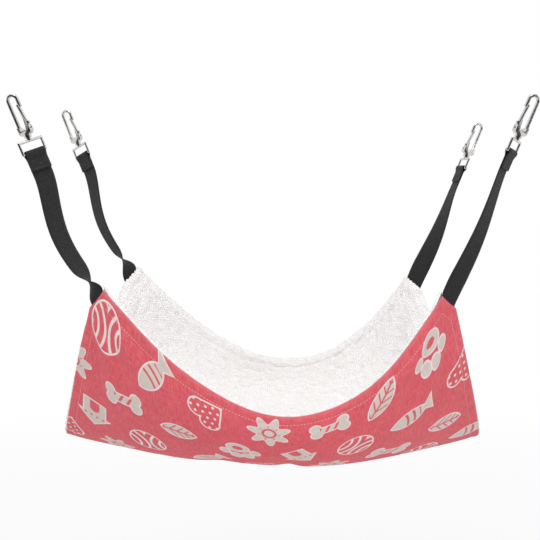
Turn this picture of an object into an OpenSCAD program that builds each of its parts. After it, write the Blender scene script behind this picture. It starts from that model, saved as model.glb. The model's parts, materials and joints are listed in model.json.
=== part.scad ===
// Cat hammock: a two-layer mat hung from four webbing straps with swivel snap hooks.
// Millimetres. The origin lies midway between the four hanging points.
// +X runs along the mat from left to right, +Y to the back and +Z up.

/* [Hanging points] */
// Distance between the left and right hanging points
hang_span_x = 526; // [470:2:580]
// Distance between the front and rear hanging points
hang_span_y = 310; // [270:2:360]
// How much the rear left hook hangs higher than level, and the rear right one lower
hook_slope = 8; // [0:1:15]

/* [Mat] */
// Flat length of the mat, left to right
mat_length = 500; // [470:2:540]
// Flat width of the mat, front to back
mat_width = 500; // [460:2:540]
// Distance between the left and right corners as hung
corner_span_x = 366; // [330:2:400]
// Distance between the front and rear corners as hung
corner_span_y = 300; // [260:2:330]
// Distance between the front and rear edges at the middle of the mat
middle_span_y = 352; // [320:2:390]
// How much lower the keel hangs at its middle than at its ends
keel_droop = 23; // [15:1:45]
// Length taken up by the creases along the keel
keel_gather = 15; // [8:1:35]
// How far right of the middle the long edges hang lowest
edge_shift = 20; // [0:1:34]
// How much less the rear edge sags than the front edge
rear_rise = 10; // [0:1:20]
// How much the rear left corner hangs higher than level, and the rear right one lower
mat_slope = 4; // [0:1:10]
// Leg along the mat's length of the cut across each corner
corner_cut_x = 16; // [14:1:22]
// Leg along the mat's width of the cut across each corner
corner_cut_y = 26; // [24:1:34]
// Thickness of the printed panel
panel_t = 0.9; // [0.6:0.1:1.4]
// Thickness of the fleece lining
fleece_t = 6; // [4:0.5:9]
// Room between the panel and the lining
layer_gap = 0.3; // [0.2:0.05:0.6]

/* [Straps] */
// Width of the webbing
webbing_w = 25; // [20:1:28]
// Thickness of the webbing
webbing_t = 1.4; // [1:0.1:1.8]
// Free length from the corner seam to the bar of the eye
strap_length = 160; // [140:2:200]
// Length of the end sewn between the layers
tab_length = 28; // [22:1:34]
// Length of the end folded back under the eye
tail_length = 19; // [15:1:28]
// Sideways bow of the left straps
strap_bow_left = 10; // [0:1:16]
// Sideways bow of the right straps
strap_bow_right = 3; // [0:1:16]
// Room round the sewn end on either side
tab_clear = 1; // [0.9:0.05:1.4]
// Room between the webbing and the bar that it turns on
bar_clear = 0.4; // [0.3:0.05:0.8]
// Turn of the front left eye about its strap
eye_turn_front_left = -46; // [-80:2:80]
// Turn of the front right eye about its strap
eye_turn_front_right = -62; // [-80:2:80]
// Turn of the rear left eye about its strap
eye_turn_rear_left = 46; // [-80:2:80]
// Turn of the rear right eye about its strap
eye_turn_rear_right = 80; // [-80:2:80]

/* [Snap hooks] */
// Inner radius of the crown that hangs on a rail
crown_r = 4; // [3.5:0.1:5]
// Width of the hook's bow, seen from the front
bow_w = 3; // [2.6:0.1:3.6]
// Thickness of the hook's bow
bow_t = 4; // [3.2:0.1:4.8]
// Depth from the crown's centre to the floor of the hook
hook_depth = 32; // [30:0.5:38]
// Length of the nose below the crown's centre
nose_length = 8.5; // [7:0.5:9.5]
// Thickness of the foot that holds the gate
foot_t = 7; // [6.4:0.1:8]
// Height of the foot
foot_h = 5; // [4:0.5:6]
// Outer radius of the swivel barrel
barrel_r = 4; // [3.6:0.1:4.6]
// Height of the swivel barrel
barrel_h = 3; // [2:0.5:5]
// Radius of the gate's pin
pin_r = 1; // [0.8:0.05:1.2]
// Thickness of the gate's eye
gate_t = 3; // [2.4:0.1:3.2]
// Width of the gate's lever at its tip
lever_w = 1.8; // [1.4:0.1:2.2]
// Running clearance of the gate on its pin
pin_clear = 0.05; // [0.02:0.01:0.1]
// Room on each side of the gate in the foot's slot
slot_clear = 0.2; // [0.15:0.05:0.3]
// Thickness of the gate's leaf spring
leaf_t = 0.4; // [0.3:0.05:0.5]
// Radius of the swivel post
post_r = 1.8; // [1.5:0.1:2]
// Running clearance of the swivel post
post_clear = 0.05; // [0.02:0.01:0.1]
// End play of the swivel post
end_play = 0.2; // [0.15:0.05:0.4]
// Diameter of the eye's wire
eye_wire = 3; // [2.6:0.1:3.6]
// Height of the eye's opening
eye_h = 9.5; // [8:0.5:13]
// Room for the webbing across the eye
eye_clear = 1; // [0.6:0.1:2]
// Turn of the left hooks about their straps
hook_turn_left = 22; // [0:2:40]
// Turn of the right hooks about their straps
hook_turn_right = 158; // [140:2:180]

/* [Hidden] */
$fn = 40;
half_length = mat_length / 2;
half_width = mat_width / 2;
half_corner_x = corner_span_x / 2;
half_corner_y = corner_span_y / 2;
half_middle_y = middle_span_y / 2;
cut_a = corner_cut_x / half_length;
cut_b = corner_cut_y / half_width;
seam_flat = norm([corner_cut_x, corner_cut_y]);
seam_in = seam_flat / 2;
keel_half = (mat_length - keel_gather - 8 * keel_droop * keel_droop / (3 * mat_length)) / 2;
edge_sag = sqrt(3 / 8 * corner_span_x * max(20, mat_length - corner_span_x));
reach_out = keel_half - half_corner_x;
end_drop = sqrt(max(2500, half_width * half_width - half_corner_y * half_corner_y - reach_out * reach_out));
end_round = 0.25;
edge_bow = 0.15;
belly_power = 0.8;
keel_power = 3.4;
edge_lean = 2 * edge_shift / half_corner_x;
rear_share = 1 - rear_rise / edge_sag;
columns = 28;
rows = 12;

// Hook and eye, measured down from the crown's centre
bow_chamfer = min(bow_w, bow_t) * 0.22;
foot_low = hook_depth + foot_h;
barrel_low = foot_low + barrel_h;
collar_h = 1.2;
collar_top = barrel_low + end_play;
eye_r = eye_wire / 2;
eye_top = collar_top + collar_h + eye_r;
bar_drop = eye_top + eye_wire + eye_h;
eye_half = (webbing_w + eye_clear) / 2 + eye_r;
head_r = post_r + 0.5;
head_h = 1.6;
leaf_x = head_r + 0.25;
gate_r = pin_r + 1.2;
pivot_x = leaf_x + leaf_t + 0.25 + gate_r;
pivot_z = -(hook_depth - gate_r - 0.3);
slot_w = gate_t + 2 * slot_clear;
nose_gap = 0.2;
tip_out = crown_r - nose_gap;
tip_in = tip_out - lever_w;
tip_z = -(crown_r + 1.5);
root_in = pivot_x - gate_r * 0.45;
root_out = pivot_x + gate_r * 0.75;
shoulder_z = -(nose_length + 0.4);

// Name, side in x, side in y, turn of the eye, turn of the hook, extra half turns of the strap
CORNERS = [
    ["front_left", -1, -1, eye_turn_front_left, hook_turn_left, 1],
    ["front_right", 1, -1, eye_turn_front_right, hook_turn_right, 0],
    ["rear_left", -1, 1, eye_turn_rear_left, hook_turn_left, 1],
    ["rear_right", 1, 1, eye_turn_rear_right, hook_turn_right, 0]
];
PIECES = ["strap_tab", "strap", "swivel_eye", "hook_body", "gate", "gate_pin", "gate_spring"];

// Hung shape of the mat: a and b run from -1 to 1 along its length and width
function unit(v) = v / norm(v);
function round_at(a) = end_round + (1 - end_round) * (1 - a * a);
function edge_x(a) = half_corner_x * a * (1 + edge_bow * (1 - a * a));
function edge_z(a, b) = let (u = edge_x(a) / half_corner_x)
    -edge_sag * (b > 0 ? rear_share : 1) * (1 - u * u) * (1 + edge_lean * u);
function keel_z(a) = -end_drop - keel_droop * (1 - pow(abs(a), keel_power));
function half_y(a) = half_corner_y + (half_middle_y - half_corner_y) * (1 - a * a);
function side_y(a, t) = (1 - round_at(a)) * t + round_at(a) * pow(sin(90 * t), belly_power);
function side_z(a, t) =
    (1 - round_at(a)) * pow(t, 1.2) + round_at(a) * (1 - pow(cos(90 * t), belly_power));
function shape(a, b) = let (t = min(1, abs(b))) [
    keel_half * a + (edge_x(a) - keel_half * a) * pow(t, 1.3),
    sign(b) * half_y(a) * side_y(a, t),
    keel_z(a) + (edge_z(a, b) - keel_z(a)) * side_z(a, t) - mat_slope * a * pow((1 + b) / 2, 2)
];
function inward(a, b) = let (h = 0.01) unit(cross(
    shape(min(1, a + h), b) - shape(max(-1, a - h), b),
    shape(a, min(1, b + h)) - shape(a, max(-1, b - h))
));

// Height of the uncut corners: the straps and hooks set it
seam_rel = (shape(cut_a - 1, -1) + shape(-1, cut_b - 1)) / 2;
drop_line = strap_length + bar_drop;
corner_z = -sqrt(max(
    2500,
    drop_line * drop_line
        - pow(hang_span_x / 2 + seam_rel[0], 2) - pow(hang_span_y / 2 + seam_rel[1], 2)
)) - seam_rel[2];
function on_mat(a, b, lift) = shape(a, b) + [0, 0, corner_z] + lift * inward(a, b);

// Flat place inside a corner: q runs from the seam into the mat, w along the seam
function flat_place(sx, sy, q, w) = [
    sx * (1 - (corner_cut_x / 2 + (q * corner_cut_y - w * corner_cut_x) / seam_flat) / half_length),
    sy * (1 - (corner_cut_y / 2 + (q * corner_cut_x + w * corner_cut_y) / seam_flat) / half_width)
];
seam_chord = norm(shape(cut_a - 1, -1) - shape(-1, cut_b - 1));
spread = seam_flat / seam_chord;
tab_lift = panel_t + tab_clear + webbing_t / 2;
function in_corner(sx, sy, q, w, lift) = let (p = flat_place(sx, sy, q, w * spread))
    on_mat(p[0], p[1], lift);

// The lining is lifted near the corners, where the sewn ends lie under it
function corner_distance(a, b) =
    norm([(1 - abs(a)) * half_length, (1 - abs(b)) * half_width]);
function near_corner(a, b) =
    max(0, min(1, 1.9 - corner_distance(a, b) / (seam_in + tab_length + 12)));
function lining_low(a, b) = panel_t + layer_gap
    + (webbing_t + 2 * tab_clear) * near_corner(a, b);

// Straight seam of a cut corner, its axis and the point that the strap swings about
function hang_point(c) = [
    c[1] * hang_span_x / 2, c[2] * hang_span_y / 2, c[2] > 0 ? -c[1] * hook_slope : 0
];
function seam_from(c, lift) = on_mat(c[1] * (1 - cut_a), c[2], lift);
function seam_to(c, lift) = on_mat(c[1], c[2] * (1 - cut_b), lift);
function flex_axis(c) = unit(seam_to(c, 0) - seam_from(c, 0));
function seam_up(c) = let (
    x = flex_axis(c),
    n = inward(c[1] * (1 - cut_a), c[2]) + inward(c[1], c[2] * (1 - cut_b))
) unit(n - x * (x * n));
function seam_out(c) = c[1] * c[2] * cross(seam_up(c), flex_axis(c));
function seam_point(c) = (seam_from(c, 0) + seam_to(c, 0)) / 2 + seam_up(c) * tab_lift;
function flex_point(c) = seam_point(c) + seam_out(c) * (webbing_t / 2 + 0.3);
function down(c) = unit(flex_point(c) - hang_point(c));
function across(c, turn) = let (d = down(c), r = unit(cross(d, [0, 1, 0])), s = cross(d, r))
    cos(turn) * r + sin(turn) * s;
function bar_point(c) = hang_point(c) + down(c) * bar_drop;
function placed(c, turn) = let (
    z = -down(c), x = across(c, turn), y = cross(z, x), p = hang_point(c)
) [
    [x[0], y[0], z[0], p[0]],
    [x[1], y[1], z[1], p[1]],
    [x[2], y[2], z[2], p[2]],
    [0, 0, 0, 1]
];

// Twist of a strap from the bar of its eye to the seam
function turned(v, axis, angle) =
    v * cos(angle) + cross(axis, v) * sin(angle) + axis * (axis * v) * (1 - cos(angle));
function plain_twist(c) = let (
    d = down(c), x = across(c, c[3]), e = unit(flex_axis(c) - d * (d * flex_axis(c)))
) atan2(cross(x, e) * d, x * e);
function short_twist(c) = let (t = plain_twist(c)) t > 90 ? t - 180 : (t < -90 ? t + 180 : t);
function full_twist(c) = let (t = short_twist(c)) c[5] == 0 ? t : (t > 0 ? t - 180 : t + 180);
function ease(s) = s * s * (3 - 2 * s);
function twist_share(c, s) = c[5] == 0
    ? ease(min(1, s / 0.93))
    : 0.12 * min(1, s / 0.72) + 0.88 * ease(max(0, min(1, (s - 0.72) / 0.25)));

// A ribbon is a list of rings: centre, direction of its width, half thickness. Both of its
// faces are split along the same diagonals, so that it keeps its thickness where it twists
loop_r = eye_r + bar_clear + webbing_t / 2;
ply = webbing_t / 2 + 0.15;
pinch = loop_r * 2.6;
function top_ring(c, along, off) = let (d = down(c), x = across(c, c[3]), n = cross(x, d))
    [bar_point(c) + d * along + n * off, x, webbing_t / 2];
function bow_way(c) = let (d = down(c), v = [c[1], 0, 0]) unit(v - d * (d * v));
function bow(c, s) = (c[1] < 0 ? strap_bow_left : strap_bow_right) * 16 * s * s * (1 - s) * (1 - s);
function strap_rings(c) = let (
    d = down(c), x = across(c, c[3]), n = cross(x, d),
    start = bar_point(c) + d * (tail_length + 2),
    run = flex_point(c) - start,
    twist = full_twist(c),
    last = flex_axis(c) * sign(flex_axis(c) * turned(x, d, twist)),
    tilt = (last * d) / sqrt(1 - pow(last * d, 2))
) concat(
    [top_ring(c, tail_length, -ply), top_ring(c, (tail_length + pinch) / 2, -ply)],
    [top_ring(c, pinch, -ply)],
    [for (k = [0 : 10]) let (f = k * 18) top_ring(c, -loop_r * sin(f), -loop_r * cos(f))],
    [top_ring(c, pinch, ply), top_ring(c, (tail_length + pinch) / 2, ply)],
    [for (k = [0 : 30]) let (s = k / 30) [
        start + run * s + n * ply * pow(1 - s, 6) + bow_way(c) * bow(c, s),
        unit(turned(x, d, twist * twist_share(c, s)) + d * tilt * ease(max(0, 4 * s - 3))),
        webbing_t / 2
    ]],
    [for (k = [0.55, 0.9]) [
        flex_point(c) - seam_out(c) * k * webbing_t / 2, last, sqrt(1 - k * k) * webbing_t / 2
    ]]
);
function ring_corners(rings, i) = let (
    n = len(rings) - 1,
    t = unit(rings[min(n, i + 1)][0] - rings[max(0, i - 1)][0]),
    w = rings[i][1],
    m = unit(cross(t, w)) * rings[i][2],
    h = w * webbing_w / 2,
    p = rings[i][0]
) [p - h - m, p - m, p + h - m, p + h + m, p + m, p - h + m];

// A closed solid from a grid of points on its low face and one on its high face
module skin(low, high, m, n) {
    total = (m + 1) * (n + 1);
    rim = concat(
        [for (i = [0 : m - 1]) i * (n + 1)],
        [for (j = [0 : n - 1]) m * (n + 1) + j],
        [for (i = [m : -1 : 1]) i * (n + 1) + n],
        [for (j = [n : -1 : 1]) j]
    );
    polyhedron(
        points = concat(low, high),
        faces = concat(
            [for (i = [0 : m - 1]) for (j = [0 : n - 1]) let (k = i * (n + 1) + j)
                each [[k, k + n + 1, k + n + 2], [k, k + n + 2, k + 1]]],
            [for (i = [0 : m - 1]) for (j = [0 : n - 1]) let (k = total + i * (n + 1) + j)
                each [[k, k + n + 2, k + n + 1], [k, k + 1, k + n + 2]]],
            [for (r = [0 : len(rim) - 1]) let (k = rim[r], l = rim[(r + 1) % len(rim)])
                each [[k, l + total, l], [k, k + total, l + total]]]
        ),
        convexity = 10
    );
}

module ribbon(rings) {
    n = len(rings) - 1;
    polyhedron(
        points = [for (i = [0 : n]) each ring_corners(rings, i)],
        faces = concat(
            [[0, 1, 4], [0, 4, 5], [1, 2, 3], [1, 3, 4]],
            [for (i = [0 : n - 1]) for (e = [0 : 5])
                let (p = 6 * i + e, q = 6 * i + (e + 1) % 6)
                each e < 3 ? [[p, p + 6, q], [q, p + 6, q + 6]] : [[p, p + 6, q + 6], [p, q + 6, q]]],
            [for (f = [[0, 4, 1], [0, 5, 4], [1, 3, 2], [1, 4, 3]]) [for (k = f) 6 * n + k]]
        ),
        convexity = 10
    );
}

// Grid of the whole mat, with the corners cut
row_list = concat(
    [-1],
    [for (j = [-(rows - 1) : rows - 1]) (1 - cut_b) * j / (rows - 1)],
    [1]
);
function row_end(b) = 1 - cut_a * max(0, (abs(b) - (1 - cut_b)) / cut_b);
GRID = [
    for (i = [0 : columns]) for (b = row_list) [(2 * i / columns - 1) * row_end(b), b]
];
row_steps = len(row_list) - 1;

module outer_panel() {
    color("#c8433f")
    skin(
        [for (g = GRID) on_mat(g[0], g[1], 0)],
        [for (g = GRID) on_mat(g[0], g[1], panel_t)],
        columns, row_steps
    );
}

module fleece_lining() {
    color("#f2efe8")
    skin(
        [for (g = GRID) on_mat(g[0], g[1], lining_low(g[0], g[1]))],
        [for (g = GRID) on_mat(g[0], g[1], lining_low(g[0], g[1]) + fleece_t)],
        columns, row_steps
    );
}

// Sewn end of a strap, between the layers: straight at the seam, then along the mat
module strap_tab(c) {
    steps_q = 6;
    steps_w = 4;
    function at(i, j, lift) = let (w = c[1] * c[2] * (j / steps_w - 0.5) * (webbing_w - 1))
        i == 0 ? seam_point(c) + flex_axis(c) * w + seam_up(c) * lift
            : in_corner(c[1], c[2], i * tab_length / steps_q, w, tab_lift + lift);
    color("#1d1d20")
    skin(
        [for (i = [0 : steps_q]) for (j = [0 : steps_w]) at(i, j, -webbing_t / 2)],
        [for (i = [0 : steps_q]) for (j = [0 : steps_w]) at(i, j, webbing_t / 2)],
        steps_q, steps_w
    );
}

// Free part of a strap with its loop and tail
module strap(c) {
    color("#1d1d20") ribbon(strap_rings(c));
}

// Section of the hook's bow, its flat inner face at x = 0
module bow_section() {
    e = bow_chamfer;
    t = bow_t / 2;
    polygon([
        [0, e - t], [0, t - e], [e, t], [bow_w - e, t],
        [bow_w, t - e], [bow_w, e - t], [bow_w - e, -t], [e, -t]
    ]);
}

// Hook frame: the crown's centre is the origin, the gate is on the +x side
module hook_bow() {
    rotate([90, 0, 0]) rotate_extrude(angle = 180) translate([crown_r, 0]) bow_section();
    translate([crown_r, 0, -nose_length]) linear_extrude(nose_length) bow_section();
    mirror([1, 0, 0]) translate([crown_r, 0, -foot_low + 1])
        linear_extrude(foot_low - 1) bow_section();
}

module foot_outline() {
    left = -crown_r - bow_w;
    right = pivot_x + gate_r;
    polygon([
        [left, -hook_depth + 5], [left, -foot_low + 2.2], [-barrel_r, -foot_low],
        [barrel_r, -foot_low], [right, -foot_low + 2.2], [right, pivot_z],
        [pivot_x - gate_r, pivot_z], [pivot_x - gate_r, -hook_depth],
        [-crown_r, -hook_depth], [-crown_r, -hook_depth + 3.5]
    ]);
    translate([pivot_x, pivot_z]) circle(gate_r);
}

module hook_body(c) {
    color("#c9c8c6")
    multmatrix(placed(c, c[4]))
    difference() {
        union() {
            hook_bow();
            translate([0, foot_t / 2, 0]) rotate([90, 0, 0])
                linear_extrude(foot_t) foot_outline();
            translate([0, 0, -barrel_low]) cylinder(h = barrel_h + 1, r = barrel_r);
        }
        translate([0, 0, -barrel_low - 1])
            cylinder(h = barrel_h + foot_h + 2, r = post_r + post_clear);
        translate([pivot_x - gate_r - 0.2, -slot_w / 2, pivot_z - gate_r - 0.2])
            cube([2 * gate_r + 3, slot_w, 2 * gate_r + 3]);
        translate([pivot_x, foot_t, pivot_z]) rotate([90, 0, 0])
            cylinder(h = 2 * foot_t, r = pin_r);
    }
}

// Sprung lever that closes the hook from the inside of the nose
module gate(c) {
    color("#bdbcba")
    multmatrix(placed(c, c[4]))
    difference() {
        union() {
            translate([0, gate_t / 2, 0]) rotate([90, 0, 0]) linear_extrude(gate_t) {
                polygon([
                    [tip_in, tip_z], [tip_out, tip_z], [tip_out, shoulder_z],
                    [tip_out + 1.4, shoulder_z], [root_out, pivot_z + 1], [root_out - 0.3, pivot_z],
                    [root_in, pivot_z], [root_in, pivot_z + 2]
                ]);
                translate([pivot_x, pivot_z]) circle(gate_r);
            }
            translate([root_out - 0.2, 1.3, pivot_z + gate_r + 1.6])
                rotate([90, 0, 0]) cylinder(h = 2.6, r = 1.7);
        }
        translate([pivot_x, gate_t, pivot_z]) rotate([90, 0, 0])
            cylinder(h = 2 * gate_t, r = pin_r + pin_clear);
    }
}

module gate_pin(c) {
    color("#aaa9a7")
    multmatrix(placed(c, c[4]))
    translate([pivot_x, 0, pivot_z]) rotate([90, 0, 0]) {
        cylinder(h = foot_t, r = pin_r, center = true);
        translate([0, 0, foot_t / 2]) cylinder(h = 0.6, r1 = pin_r * 1.5, r2 = pin_r);
        translate([0, 0, -foot_t / 2 - 0.6]) cylinder(h = 0.6, r1 = pin_r, r2 = pin_r * 1.5);
    }
}

// Leaf spring that stands on the hook's floor and leans on the lever
function lever_inner(z) = tip_in + (root_in - tip_in) * (z - tip_z) / (pivot_z + 2 - tip_z);
module gate_spring(c) {
    bend_z = pivot_z + gate_r + 0.6;
    top_z = bend_z + 6;
    lean = lever_inner(top_z) - 0.1 - leaf_t;
    bend = min(leaf_x, lever_inner(bend_z) - 0.2 - leaf_t);
    color("#8f8f8d")
    multmatrix(placed(c, c[4]))
    translate([0, gate_t * 0.35, 0]) rotate([90, 0, 0]) linear_extrude(gate_t * 0.7)
        polygon([
            [leaf_x, -hook_depth], [leaf_x + leaf_t, -hook_depth], [bend + leaf_t, bend_z],
            [lean + leaf_t, top_z], [lean, top_z], [bend, bend_z]
        ]);
}

// Rectangular eye with its swivel post
module swivel_eye(c) {
    color("#c4c3c1")
    multmatrix(placed(c, c[3])) {
        for (s = [-1, 1]) {
            translate([s * eye_half, 0, -bar_drop]) cylinder(h = bar_drop - eye_top, r = eye_r);
            for (z = [eye_top, bar_drop]) translate([s * eye_half, 0, -z]) sphere(r = eye_r);
        }
        for (z = [eye_top, bar_drop])
            translate([-eye_half, 0, -z]) rotate([0, 90, 0]) cylinder(h = 2 * eye_half, r = eye_r);
        translate([0, 0, -eye_top]) cylinder(h = eye_top - collar_top, r = post_r + 1);
        translate([0, 0, -eye_top]) cylinder(h = eye_top - hook_depth + end_play + 0.4, r = post_r);
        translate([0, 0, -hook_depth + end_play]) cylinder(h = head_h, r1 = head_r, r2 = head_r * 0.6);
    }
}

outer_panel();
fleece_lining();
for (c = CORNERS) {
    strap_tab(c);
    strap(c);
    swivel_eye(c);
    hook_body(c);
    gate(c);
    gate_pin(c);
    gate_spring(c);
}
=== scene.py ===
"""Looks of a hung pet hammock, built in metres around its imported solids.

The mat is a printed canvas and a fleece lining sewn together and turned, slung from
four webbing straps with swivel snap hooks.
"""

from __future__ import annotations

import json
import logging
import math
from contextlib import contextmanager
from dataclasses import dataclass, field
from enum import Enum
from itertools import product
from typing import Any, Iterator, Sequence

import bmesh
import bpy
import numpy as np
from bpy.types import Material, Mesh, Node, NodesModifier, NodeSocket, NodeTree, Object
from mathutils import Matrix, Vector

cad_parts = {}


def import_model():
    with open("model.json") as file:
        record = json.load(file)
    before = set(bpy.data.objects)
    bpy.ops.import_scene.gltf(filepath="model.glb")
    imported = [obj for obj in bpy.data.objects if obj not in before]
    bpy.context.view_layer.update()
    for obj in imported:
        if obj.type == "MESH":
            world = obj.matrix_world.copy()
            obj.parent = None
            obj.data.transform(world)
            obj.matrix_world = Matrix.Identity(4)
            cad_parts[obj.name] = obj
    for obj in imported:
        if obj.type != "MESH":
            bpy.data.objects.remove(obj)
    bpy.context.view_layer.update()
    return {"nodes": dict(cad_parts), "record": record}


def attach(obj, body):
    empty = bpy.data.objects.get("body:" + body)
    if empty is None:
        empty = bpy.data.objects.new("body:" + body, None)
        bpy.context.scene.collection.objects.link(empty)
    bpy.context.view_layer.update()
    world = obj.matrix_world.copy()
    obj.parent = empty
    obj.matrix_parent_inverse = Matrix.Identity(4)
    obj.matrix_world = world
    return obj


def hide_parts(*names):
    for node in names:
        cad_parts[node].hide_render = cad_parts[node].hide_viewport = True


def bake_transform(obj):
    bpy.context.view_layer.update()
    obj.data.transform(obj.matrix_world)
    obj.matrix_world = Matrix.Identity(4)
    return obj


LOG = logging.getLogger("hammock")
PHOTO_SIDE = 540.0
SENSOR_MM = 36.0
MERGE_WITHIN = 2e-6
TINY = 1e-9

Colour = tuple[float, float, float]
Feeds = dict[str | int, Any]
Pair = tuple[float, float]
Plain = tuple[tuple[str, float], ...]
Array = np.ndarray
Places = tuple[Array, Array]
Ring = tuple[Array, Array]


# Node helpers


def feed(node: Node, feeds: Feeds) -> None:
    """Give a node's inputs what they need.

    Args:
        node: The node.
        feeds: Inputs by name or number. Scalars and sockets are linked, plain values are set.
    """
    for key, value in feeds.items():
        source = value.socket if isinstance(value, Scalar) else value
        if isinstance(source, NodeSocket):
            node.id_data.links.new(source, node.inputs[key])
        else:
            node.inputs[key].default_value = source


def add_node(tree: NodeTree, kind: str, feeds: Feeds | None = None, **settings: Any) -> Node:
    """Add a node to a tree.

    Args:
        tree: The tree.
        kind: The node's type.
        feeds: What its inputs get, as in feed.
        settings: The node's own properties.

    Returns:
        The node.
    """
    made = tree.nodes.new(kind)
    for key, value in settings.items():
        setattr(made, key, value)
    feed(made, feeds or {})
    return made


def add_socket(tree: NodeTree, side: str, name: str, kind: str, value: float | None = None) -> None:
    """Give a node group a named input or output.

    Args:
        tree: The group.
        side: INPUT or OUTPUT.
        name: The socket's name.
        kind: Its type, such as Float.
        value: Its default, if it has one.
    """
    made = tree.interface.new_socket(name=name, in_out=side, socket_type="NodeSocket" + kind)
    if value is not None:
        made.default_value = value


def shader_group(name: str, outputs: Sequence[str], **numbers: float) -> tuple[NodeTree, Node, Node]:
    """Start a shader node group over a vector.

    Args:
        name: Name of the group.
        outputs: Its number outputs.
        numbers: Its number inputs with their defaults.

    Returns:
        The tree and its input and output nodes.
    """
    tree = bpy.data.node_groups.new(name, "ShaderNodeTree")
    add_socket(tree, "INPUT", "Vector", "Vector")
    for label, value in numbers.items():
        add_socket(tree, "INPUT", label, "Float", value)
    for label in outputs:
        add_socket(tree, "OUTPUT", label, "Float")
    return tree, tree.nodes.new("NodeGroupInput"), tree.nodes.new("NodeGroupOutput")


class Scalar:
    """A number socket in a shader tree that combines with ordinary arithmetic."""

    def __init__(self, tree: NodeTree, socket: NodeSocket) -> None:
        """Wrap one output socket of a tree."""
        self.tree = tree
        self.socket = socket

    def math(self, operation: str, *others: Scalar | float, clamp: bool = False) -> Scalar:
        """Add a Math node that starts from this value.

        Args:
            operation: The Math node's operation.
            others: Further operands, scalars or plain numbers.
            clamp: Whether the result is held between 0 and 1.

        Returns:
            The node's result.
        """
        operands = dict(enumerate((self, *others)))
        node = add_node(self.tree, "ShaderNodeMath", operands, operation=operation, use_clamp=clamp)
        return Scalar(self.tree, node.outputs[0])

    def __add__(self, other: Scalar | float) -> Scalar:
        """Sum."""
        return self.math("ADD", other)

    __radd__ = __add__

    def __sub__(self, other: Scalar | float) -> Scalar:
        """Difference."""
        return self.math("SUBTRACT", other)

    def __rsub__(self, other: float) -> Scalar:
        """Plain number less this value."""
        return self.math("MULTIPLY_ADD", -1.0, other)

    def __mul__(self, other: Scalar | float) -> Scalar:
        """Product."""
        return self.math("MULTIPLY", other)

    __rmul__ = __mul__

    def __truediv__(self, other: Scalar | float) -> Scalar:
        """Quotient."""
        return self.math("DIVIDE", other)

    def least(self, other: Scalar | float) -> Scalar:
        """Smaller of two values."""
        return self.math("MINIMUM", other)

    def most(self, other: Scalar | float) -> Scalar:
        """Larger of two values."""
        return self.math("MAXIMUM", other)

    def size(self) -> Scalar:
        """Absolute value."""
        return self.math("ABSOLUTE")

    def wave(self) -> Scalar:
        """Sine."""
        return self.math("SINE")

    def root(self) -> Scalar:
        """Square root."""
        return self.math("SQRT")

    def clamped(self) -> Scalar:
        """Value held between 0 and 1."""
        return self.math("ADD", 0.0, clamp=True)

    def share_of(self, whole: float) -> Scalar:
        """Share of a whole, held between 0 and 1."""
        return self.math("DIVIDE", whole, clamp=True)

    def below(self, edge: float, soft: float) -> Scalar:
        """Soft mask that is 1 where the value lies below an edge."""
        return (edge + soft * 0.5 - self).share_of(soft)

    def within(self, half: float, soft: float) -> Scalar:
        """Soft mask that is 1 where the value lies near zero."""
        return self.size().below(half, soft)

    def stripes(self, rate: float, edge: float, soft: float = 0.4) -> Scalar:
        """Soft stripes where the value's sine lies below an edge."""
        return (self * rate).wave().below(edge, soft)


Drawing = tuple[Scalar, Scalar]


def split_xy(tree: NodeTree, socket: NodeSocket) -> tuple[Scalar, Scalar]:
    """Take a vector's first two parts as scalars."""
    node = add_node(tree, "ShaderNodeSeparateXYZ", {0: socket})
    return Scalar(tree, node.outputs[0]), Scalar(tree, node.outputs[1])


class SharedEffects:
    """Shader node groups that more than one finish uses."""

    def __init__(self) -> None:
        """Build every group once."""
        self.weave = self._weave()
        self.mottle = self._mottle()

    @staticmethod
    def _weave() -> NodeTree:
        """Plain weave over flat cloth coordinates in metres.

        Returns:
            A group with a thread height, and a thread tone that is painted shade: darker where the threads
            lie low, lighter where one set lies on top.
        """
        tree, start, end = shader_group("plain weave", ("Height", "Tone"), Warp=0.0007, Weft=0.0007)
        x, y = split_xy(tree, start.outputs["Vector"])
        across = x / Scalar(tree, start.outputs["Warp"]) * math.pi
        along = y / Scalar(tree, start.outputs["Weft"]) * math.pi
        pick = (across.wave() * along.wave()).math("MULTIPLY_ADD", 3.0, 0.5, clamp=True)
        warp_side = 1.0 - across.math("COSINE").size()
        weft_side = 1.0 - along.math("COSINE").size()
        height = warp_side * pick + weft_side * (1.0 - pick)
        # The tone is painted shade: darker in the low gaps between threads, lighter where one set of threads
        # lies on top.
        feed(end, {"Height": height, "Tone": height * 0.35 + pick * 0.2 + 0.5})
        return tree

    @staticmethod
    def _mottle() -> NodeTree:
        """Uneven tone from two scales of noise.

        Returns:
            A group with a value round one half and a fine value.
        """
        tree, start, end = shader_group("uneven tone", ("Broad", "Fine"), Scale=40.0)
        scale = Scalar(tree, start.outputs["Scale"])
        for name, factor, detail in (("Broad", 1.0, 3.0), ("Fine", 9.0, 5.0)):
            feeds = {"Vector": start.outputs["Vector"], "Scale": scale * factor, "Detail": detail}
            feed(end, {name: add_node(tree, "ShaderNodeTexNoise", feeds).outputs[0]})
        return tree


# Print


class Motif(Enum):
    """Small pictures of the print: their number in the layout and whether they are filled."""

    YARN = (0, False)
    FISH = (1, True)
    HEART = (2, False)
    DAISY = (3, True)
    BONE = (4, True)
    LEAF = (5, True)
    PAW = (6, True)
    HOUSE = (7, True)

    @property
    def number(self) -> float:
        """Its number in the layout."""
        return float(self.value[0])

    @property
    def filled(self) -> bool:
        """Whether the picture is pale with red details, or red with pale details."""
        return self.value[1]


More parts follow.
